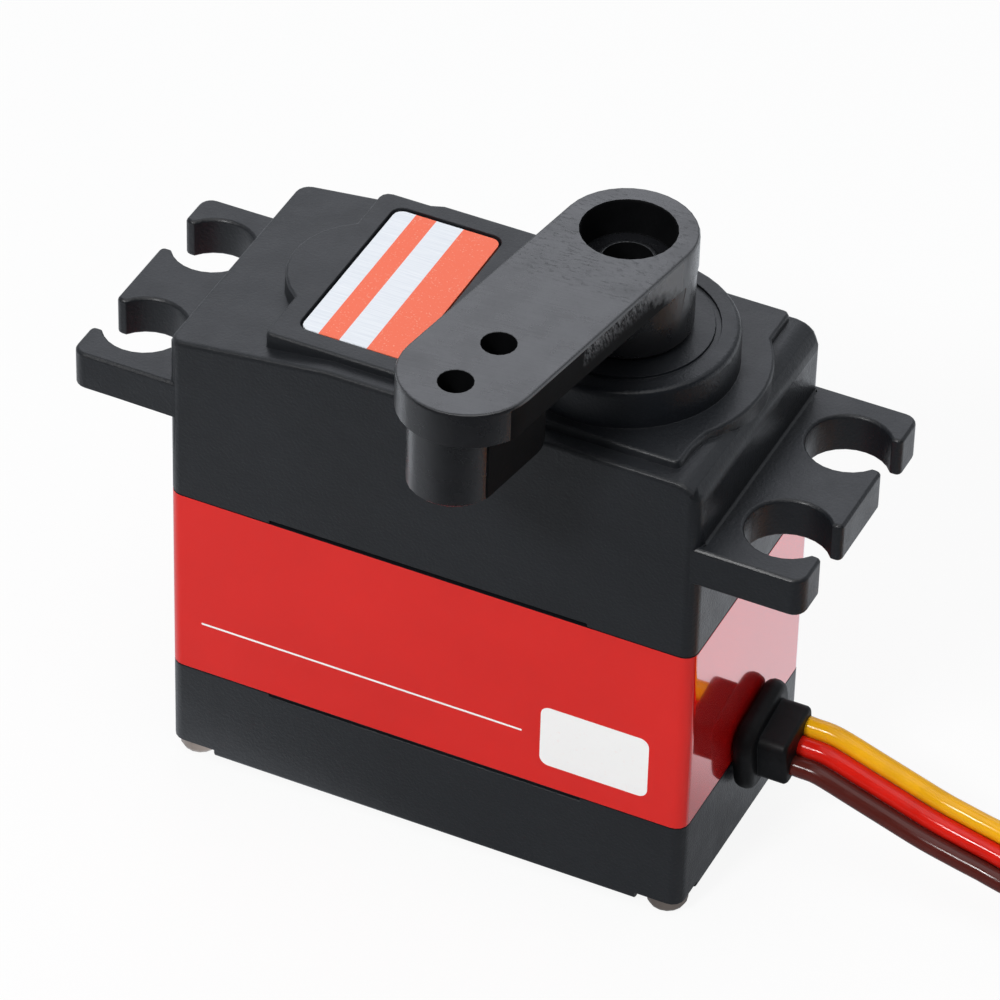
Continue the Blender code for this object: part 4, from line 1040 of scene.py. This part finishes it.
def horn_slot(face):
    """The slot of one face of the horn."""
    if on_side(face.normal, face.center):
        return SIDE_SLOT
    out = from_axis(face.center)
    on_lip = face.normal.z > 0.7 and out < LIP_REACH
    by_link = any(from_axis(face.center, axis) < LINK_REACH for axis in LINK_HOLES)
    in_link = by_link and abs(face.normal.z) < 0.5
    return BORE_SLOT if (out < WELL_REACH and not on_lip) or in_link else HORN_SLOT


bm = bmesh.new()
bm.from_mesh(horn.data)
bm.normal_update()
faces = [f for f in bm.faces if on_side(f.normal, f.calc_center_median())]
flat = [f for f in faces if f.calc_area() > SIDE_AREA * MM * MM]
rims = dict.fromkeys(e for f in flat for e in f.edges)
corners = dict.fromkeys(v for f in flat for v in f.verts)
cut = [*flat, *rims, *corners]
start = (OUTPUT + ARM_AHEAD * SIDE_FROM) * MM
bmesh.ops.bisect_plane(
    bm, geom=cut, dist=0.001 * MM, plane_co=(*start, 0.0), plane_no=(*ARM_AHEAD, 0.0),
)
bm.to_mesh(horn.data)
bm.free()
for face in horn.data.polygons:
    face.material_index = horn_slot(face)
slots = [face.material_index for face in horn.data.polygons]
print("horn has", slots.count(SIDE_SLOT), "side faces and", slots.count(BORE_SLOT), "in its holes")

# %% [markdown]
# ## The grommet
#
# The strain relief is a rubber bead with a square neck round the wires. Rubber is moulded with
# larger rounds than nylon, so its bevel is the widest. A subdivision surface would round it more
# softly, but would shrink the neck away from the wires.

# %% Grommet
GROMMET_ROUND = 0.12
grommet = rounded_copy("cable_grommet", RUBBER, GROMMET_ROUND)
print("grommet's edges rounded by", GROMMET_ROUND, "mm")

# %% [markdown]
# ## The web under the arm
#
# The horn's two link holes share one deep block. Its front end is the round stud, and behind that a
# flat-sided web runs back round the second hole. It is a closed prism with a hole, made of stacked
# loops, so its lower edge can be chamfered and its sides stay flat. A Boolean on the horn would do
# the same, but would disturb the horn's rounded edges.

# %% Outline of the web
WEB_HALF = 3.25
WEB_NEAR = 15.5
WEB_FAR = 21.2
WEB_HOLE = 1.24
NOTCH_HALF = 1.5
NOTCH_FROM = 18.9
BACK_STEPS = 16
HOLE_STEPS = 18


def along_arm(out, aside):
    """World x and y in millimetres of a place given along the arm and to its right."""
    return OUTPUT + ARM_AHEAD * out + ARM_RIGHT * aside


def web_outline(inset):
    """The web from above: a round back end, flat sides, and a notch that clears the far hole."""
    half = WEB_HALF - inset
    turns = [math.pi * k / BACK_STEPS for k in range(BACK_STEPS + 1)]
    back_end = [(WEB_NEAR - half * math.sin(a), half * math.cos(a)) for a in turns]
    left = [(WEB_FAR, -half), (WEB_FAR, -NOTCH_HALF), (NOTCH_FROM, -NOTCH_HALF)]
    return back_end + left + [(out, -aside) for out, aside in left[::-1]]


def web_hole():
    turns = [2 * math.pi * k / HOLE_STEPS for k in range(HOLE_STEPS)]
    return [(WEB_NEAR + WEB_HOLE * math.sin(a), WEB_HOLE * math.cos(a)) for a in turns]


print("web's outline has", len(web_outline(0.0)), "corners")

# %% [markdown]
# ## Loops into a web
#
# Each loop of points lies at one height. Walls join a loop to the next, and both ends are filled
# between the outline and the hole. Filling by triangles is enough, because the ends are flat. The
# web hangs a tenth of a millimetre into the arm, so no gap shows between the two.

# %% Web
WEB_SOFT = 0.3
WEB_LOW = 41.92
WEB_TOP = ARM_LOW + 0.1


def ring_at(bm, spots, z):
    return [bm.verts.new(Vector((*along_arm(*spot), z)) * MM) for spot in spots]


def wall(bm, lower, upper):
    for i in range(len(lower)):
        bm.faces.new((lower[i - 1], lower[i], upper[i], upper[i - 1]))


def horn_web():
    bm = bmesh.new()
    foot = ring_at(bm, web_outline(WEB_SOFT), WEB_LOW)
    side = ring_at(bm, web_outline(0.0), WEB_LOW + WEB_SOFT)
    top = ring_at(bm, web_outline(0.0), WEB_TOP)
    hole = [ring_at(bm, web_hole(), z) for z in (WEB_LOW, WEB_TOP)]
    for lower, upper in ((foot, side), (side, top), hole):
        wall(bm, lower, upper)
    for rings in ((foot, hole[0]), (top, hole[1])):
        rims = [bm.edges.get((ring[i - 1], ring[i])) for ring in rings for i in range(len(ring))]
        bmesh.ops.triangle_fill(bm, use_beauty=True, edges=rims)
    bmesh.ops.recalc_face_normals(bm, faces=bm.faces)
    shade(bm, 35.0)
    return add_piece(bm, "horn_web", BORE, "output")


web = horn_web()
print("web is", round(WEB_TOP - WEB_LOW, 1), "mm deep")

# %% [markdown]
# ## The label
#
# A metallised sticker lies in a shallow pocket of the cover: two plain orange bands on brushed
# silver. The bands could be faces of their own, but print has no thickness that shows here. A band
# is a step in one coordinate, so the sticker keeps its solid and gets its bands from the material.

# %% Label bands
BANDS = [-10.06, -8.46, -6.36]
BAND_EDGE = 0.02


def band_mask(found):
    """1 on the orange bands of the sticker, from steps along X in millimetres."""
    across = coordinate(found, "X")
    steps = [ramp(found, across, 0.0, 1.0, x - BAND_EDGE, x + BAND_EDGE) for x in BANDS]
    first_band = sums(found.node_tree, "SUBTRACT", steps[0], steps[1])
    return sums(found.node_tree, "ADD", first_band, steps[2])


def banded_sticker():
    found = finish("banded_sticker", (0.83, 0.87, 0.93), 0.42, Specular_IOR_Level=0.3)
    brushed = grain(found, 1.0, 3.0, 0.6, (0.25, 9.0, 1.0))
    sheen = ramp(found, brushed, 0.0, 1.0)
    silver = blend(found, sheen, (0.74, 0.78, 0.84), (0.88, 0.91, 0.95))
    speck = ramp(found, grain(found, 6.0, 3.0), 0.0, 1.0, 0.60, 0.72)
    orange = blend(found, speck, (0.94, 0.165, 0.08), (0.97, 0.34, 0.23))
    feed(found, Base_Color=blend(found, band_mask(found), silver, orange))
    feed(found, Roughness=ramp(found, brushed, 0.34, 0.48))
    feed(found, Normal=raise_by(found, brushed, 0.006, 0.3))
    return found


def paint(node, surface):
    """Gives a carried-over node one finish all over."""
    for slot in frame["nodes"][node].material_slots:
        slot.material = surface


paint("label_plate", banded_sticker())
print("label bands at x", BANDS, "mm")

# %% [markdown]
# ## White ink
#
# Screen ink on a film is a little thin in places, so the red shows through in specks. A plain white
# would look cut out. Noise picks the specks, and another one makes the gloss uneven.

# %% Ink finish


def white_ink():
    found = finish("white_ink", (0.90, 0.90, 0.89), 0.4, Specular_IOR_Level=0.3)
    thin = ramp(found, grain(found, 3.0, 4.0), 0.0, 0.35, 0.60, 0.75)
    feed(found, Base_Color=blend(found, thin, (0.92, 0.92, 0.91), (0.90, 0.74, 0.72)))
    feed(found, Roughness=ramp(found, grain(found, 1.5, 4.0), 0.34, 0.5))
    return found


INK = white_ink()
print("ink has", len(INK.node_tree.nodes), "nodes")

# %% [markdown]
# ## The front's rule and badge
#
# The front carries a plain white rule and a plain white badge. A mask in the film's finish could
# draw them, but ink has a real edge. So these are thin raised pieces with round corners, a hair
# above the film.

# %% Front print
FRONT_Y = -10.3
INK_T = 0.012
INK_LIFT = 0.002
CORNER_STEPS = 6
RULE = (-17.65, 7.63, 12.29, 12.45, 0.08)
BADGE = (9.05, 17.35, 9.9, 15.2, 0.7)


def ink_outline(x0, x1, z0, z1, r):
    """Corner-rounded rectangle on the front face, as (x, z) in millimetres."""
    low, high = z0 + r, z1 - r
    corners = ((x1 - r, low, -90), (x1 - r, high, 0), (x0 + r, high, 90), (x0 + r, low, 180))
    points = []
    for x, z, first in corners:
        for k in range(CORNER_STEPS + 1):
            angle = math.radians(first + 90 * k / CORNER_STEPS)
            points.append((x + r * math.cos(angle), z + r * math.sin(angle)))
    return points


def ink_piece(name, outline):
    """A thin raised shape of ink on the red front."""
    bm = bmesh.new()
    lower = [bm.verts.new(Vector((x, FRONT_Y - INK_LIFT, z)) * MM) for x, z in outline]
    upper = [bm.verts.new(Vector((x, FRONT_Y - INK_T, z)) * MM) for x, z in outline]
    bm.faces.new(upper)
    bm.faces.new(lower[::-1])
    wall(bm, lower, upper)
    bmesh.ops.recalc_face_normals(bm, faces=bm.faces)
    return add_piece(bm, name, INK, "case")


for name, sizes in {"front_rule": RULE, "front_badge": BADGE}.items():
    ink_piece(name, ink_outline(*sizes))
    print(name, "is", round(sizes[1] - sizes[0], 1), "mm wide")

# %% [markdown]
# ## Metals
#
# Most of the servo's work goes on inside: hardened steel and brass gears, a plated motor can and
# ball races. Turned metal shows fine rings round its axis. An anisotropic shader would stretch the
# glints, but an exported model would lose it, so a noise that is stretched flat makes the rings.

# %% Turned metals


def turned_metal(name, colour, rough):
    """Machined metal: fine rings round the vertical axis, and tarnish in slow patches."""
    found = finish(name, colour, rough, 1.0)
    rings = grain(found, 1.0, 2.0, 0.5, (0.4, 0.4, 14.0))
    feed(found, Base_Color=mottle(found, 0.25, 4.0, shaded(colour, 0.78), shaded(colour, 1.12)))
    feed(found, Roughness=ramp(found, rings, rough - 0.08, rough + 0.12))
    feed(found, Normal=raise_by(found, rings, 0.01, 0.35))
    return found


STEEL = turned_metal("screw_steel", (0.36, 0.30, 0.26), 0.34)
GEAR_STEEL = turned_metal("gear_steel", (0.50, 0.50, 0.50), 0.32)
BEARING_STEEL = turned_metal("bearing_steel", (0.72, 0.72, 0.72), 0.16)
BRASS = turned_metal("gear_brass", (0.80, 0.58, 0.26), 0.3)
BRONZE = turned_metal("bushing_bronze", (0.55, 0.34, 0.17), 0.42)
PLATING = turned_metal("can_plating", (0.74, 0.72, 0.68), 0.24)
GILT = turned_metal("contact_gilt", (0.92, 0.70, 0.33), 0.25)
print("seven turned metals, from", STEEL.name, "to", GILT.name)

# %% [markdown]
# ## Small mouldings
#
# Chips, the plug, the tie, the motor's end cap and the sensor are plain plastics that differ in
# colour and gloss. A finish of its own for each would repeat the same nodes, so one function makes
# them all: a slow change of tone and a fine grain.

# %% Resin and nylon


def moulded(name, colour, rough):
    """Plain moulded plastic or resin with a fine grain and a slow change of tone."""
    found = finish(name, colour, rough)
    feed(found, Base_Color=mottle(found, 0.3, 4.0, shaded(colour, 0.8), colour))
    feed(found, Roughness=ramp(found, grain(found, 1.2, 4.0), rough - 0.06, rough + 0.1))
    feed(found, Normal=raise_by(found, grain(found, 5.0, 4.0), 0.02, 0.4))
    return found


CHIP = moulded("chip_resin", (0.02, 0.02, 0.021), 0.5)
NYLON = moulded("plug_nylon", (0.016, 0.016, 0.017), 0.42)
CAP_NYLON = moulded("end_cap_nylon", (0.62, 0.60, 0.55), 0.4)
SLEEVE = moulded("capacitor_sleeve", (0.02, 0.05, 0.22), 0.28)
PHENOLIC = moulded("sensor_phenolic", (0.14, 0.055, 0.022), 0.46)
TIE = moulded("tie_nylon", (0.02, 0.02, 0.022), 0.35)
print("six moulded finishes, from", CHIP.name, "to", TIE.name)

# %% [markdown]
# ## The circuit board
#
# Fibreglass under green solder mask, paler where copper runs lie below it. Real tracks would be a
# drawing of their own that nobody sees in the closed case. A brick pattern gives straight runs in
# the right size, and its joints serve as the relief.

# %% Board


def board_mask():
    found = finish("board_mask", (0.01, 0.11, 0.04), 0.3)
    tree = found.node_tree
    tracks = tree.nodes.new("ShaderNodeTexBrick")
    tracks.inputs["Scale"].default_value = 0.5
    tracks.inputs["Mortar Size"].default_value = 0.08
    tracks.inputs["Color1"].default_value = (0.008, 0.10, 0.036, 1.0)
    tracks.inputs["Color2"].default_value = (0.010, 0.125, 0.045, 1.0)
    tracks.inputs["Mortar"].default_value = (0.03, 0.21, 0.07, 1.0)
    link(tree, in_mm(found), tracks.inputs["Vector"])
    feed(found, Base_Color=tracks.outputs["Color"])
    feed(found, Roughness=ramp(found, grain(found, 0.9, 4.0), 0.24, 0.4))
    feed(found, Normal=raise_by(found, tracks.outputs["Fac"], 0.02, 0.4))
    return found


BOARD = board_mask()
print("board has", len(BOARD.node_tree.nodes), "nodes")

# %% [markdown]
# ## Dress the carried-over pieces
#
# The inner drive, the electronics, the screws and the lead's far end are already whole solids, so
# they only need a finish. New copies of all of them would double the work for pieces inside a
# closed case. The screw heads, the plug and the tie show, so these get a welded, smooth copy.

# %% Finishes for the other pieces
DRESSED = {
    "case_screw_1": STEEL, "case_screw_2": STEEL, "case_screw_3": STEEL, "case_screw_4": STEEL,
    "output_gear": GEAR_STEEL, "third_gear": GEAR_STEEL, "second_gear": BRASS,
    "first_gear": BRASS, "motor_pinion": BRASS, "motor_shaft": BEARING_STEEL,
    "motor_can": PLATING, "motor_end_cap": CAP_NYLON, "motor_screw_a": STEEL,
    "motor_screw_b": STEEL, "motor_terminal_a": GILT, "motor_terminal_b": GILT,
    "gear_pin_long": BEARING_STEEL, "gear_pin_short": BEARING_STEEL,
    "bearing_outer_race": BEARING_STEEL, "bearing_inner_race": BEARING_STEEL,
    "bearing_ball_cage": BEARING_STEEL, "lower_bushing": BRONZE,
    "potentiometer_body": PHENOLIC, "potentiometer_shaft": CAP_NYLON, "circuit_board": BOARD,
    "control_chip": CHIP, "driver_chip_a": CHIP, "driver_chip_b": CHIP, "capacitor": SLEEVE,
    "board_lead_brown": INSULATION["brown"], "board_lead_red": INSULATION["red"],
    "board_lead_yellow": INSULATION["yellow"], "plug_housing": NYLON,
    "plug_contact_1": GILT, "plug_contact_2": GILT, "plug_contact_3": GILT, "coil_tie": TIE,
}
SHOWN = ("case_screw_", "plug_housing", "coil_tie")
for node, surface in DRESSED.items():
    if node.startswith(SHOWN):
        rounded_copy(node, surface, 0.0)
    else:
        paint(node, surface)
earlier = sorted(set(frame["nodes"]) - set(DRESSED))
print("dressed now:", len(DRESSED), "pieces; dressed earlier:", earlier)
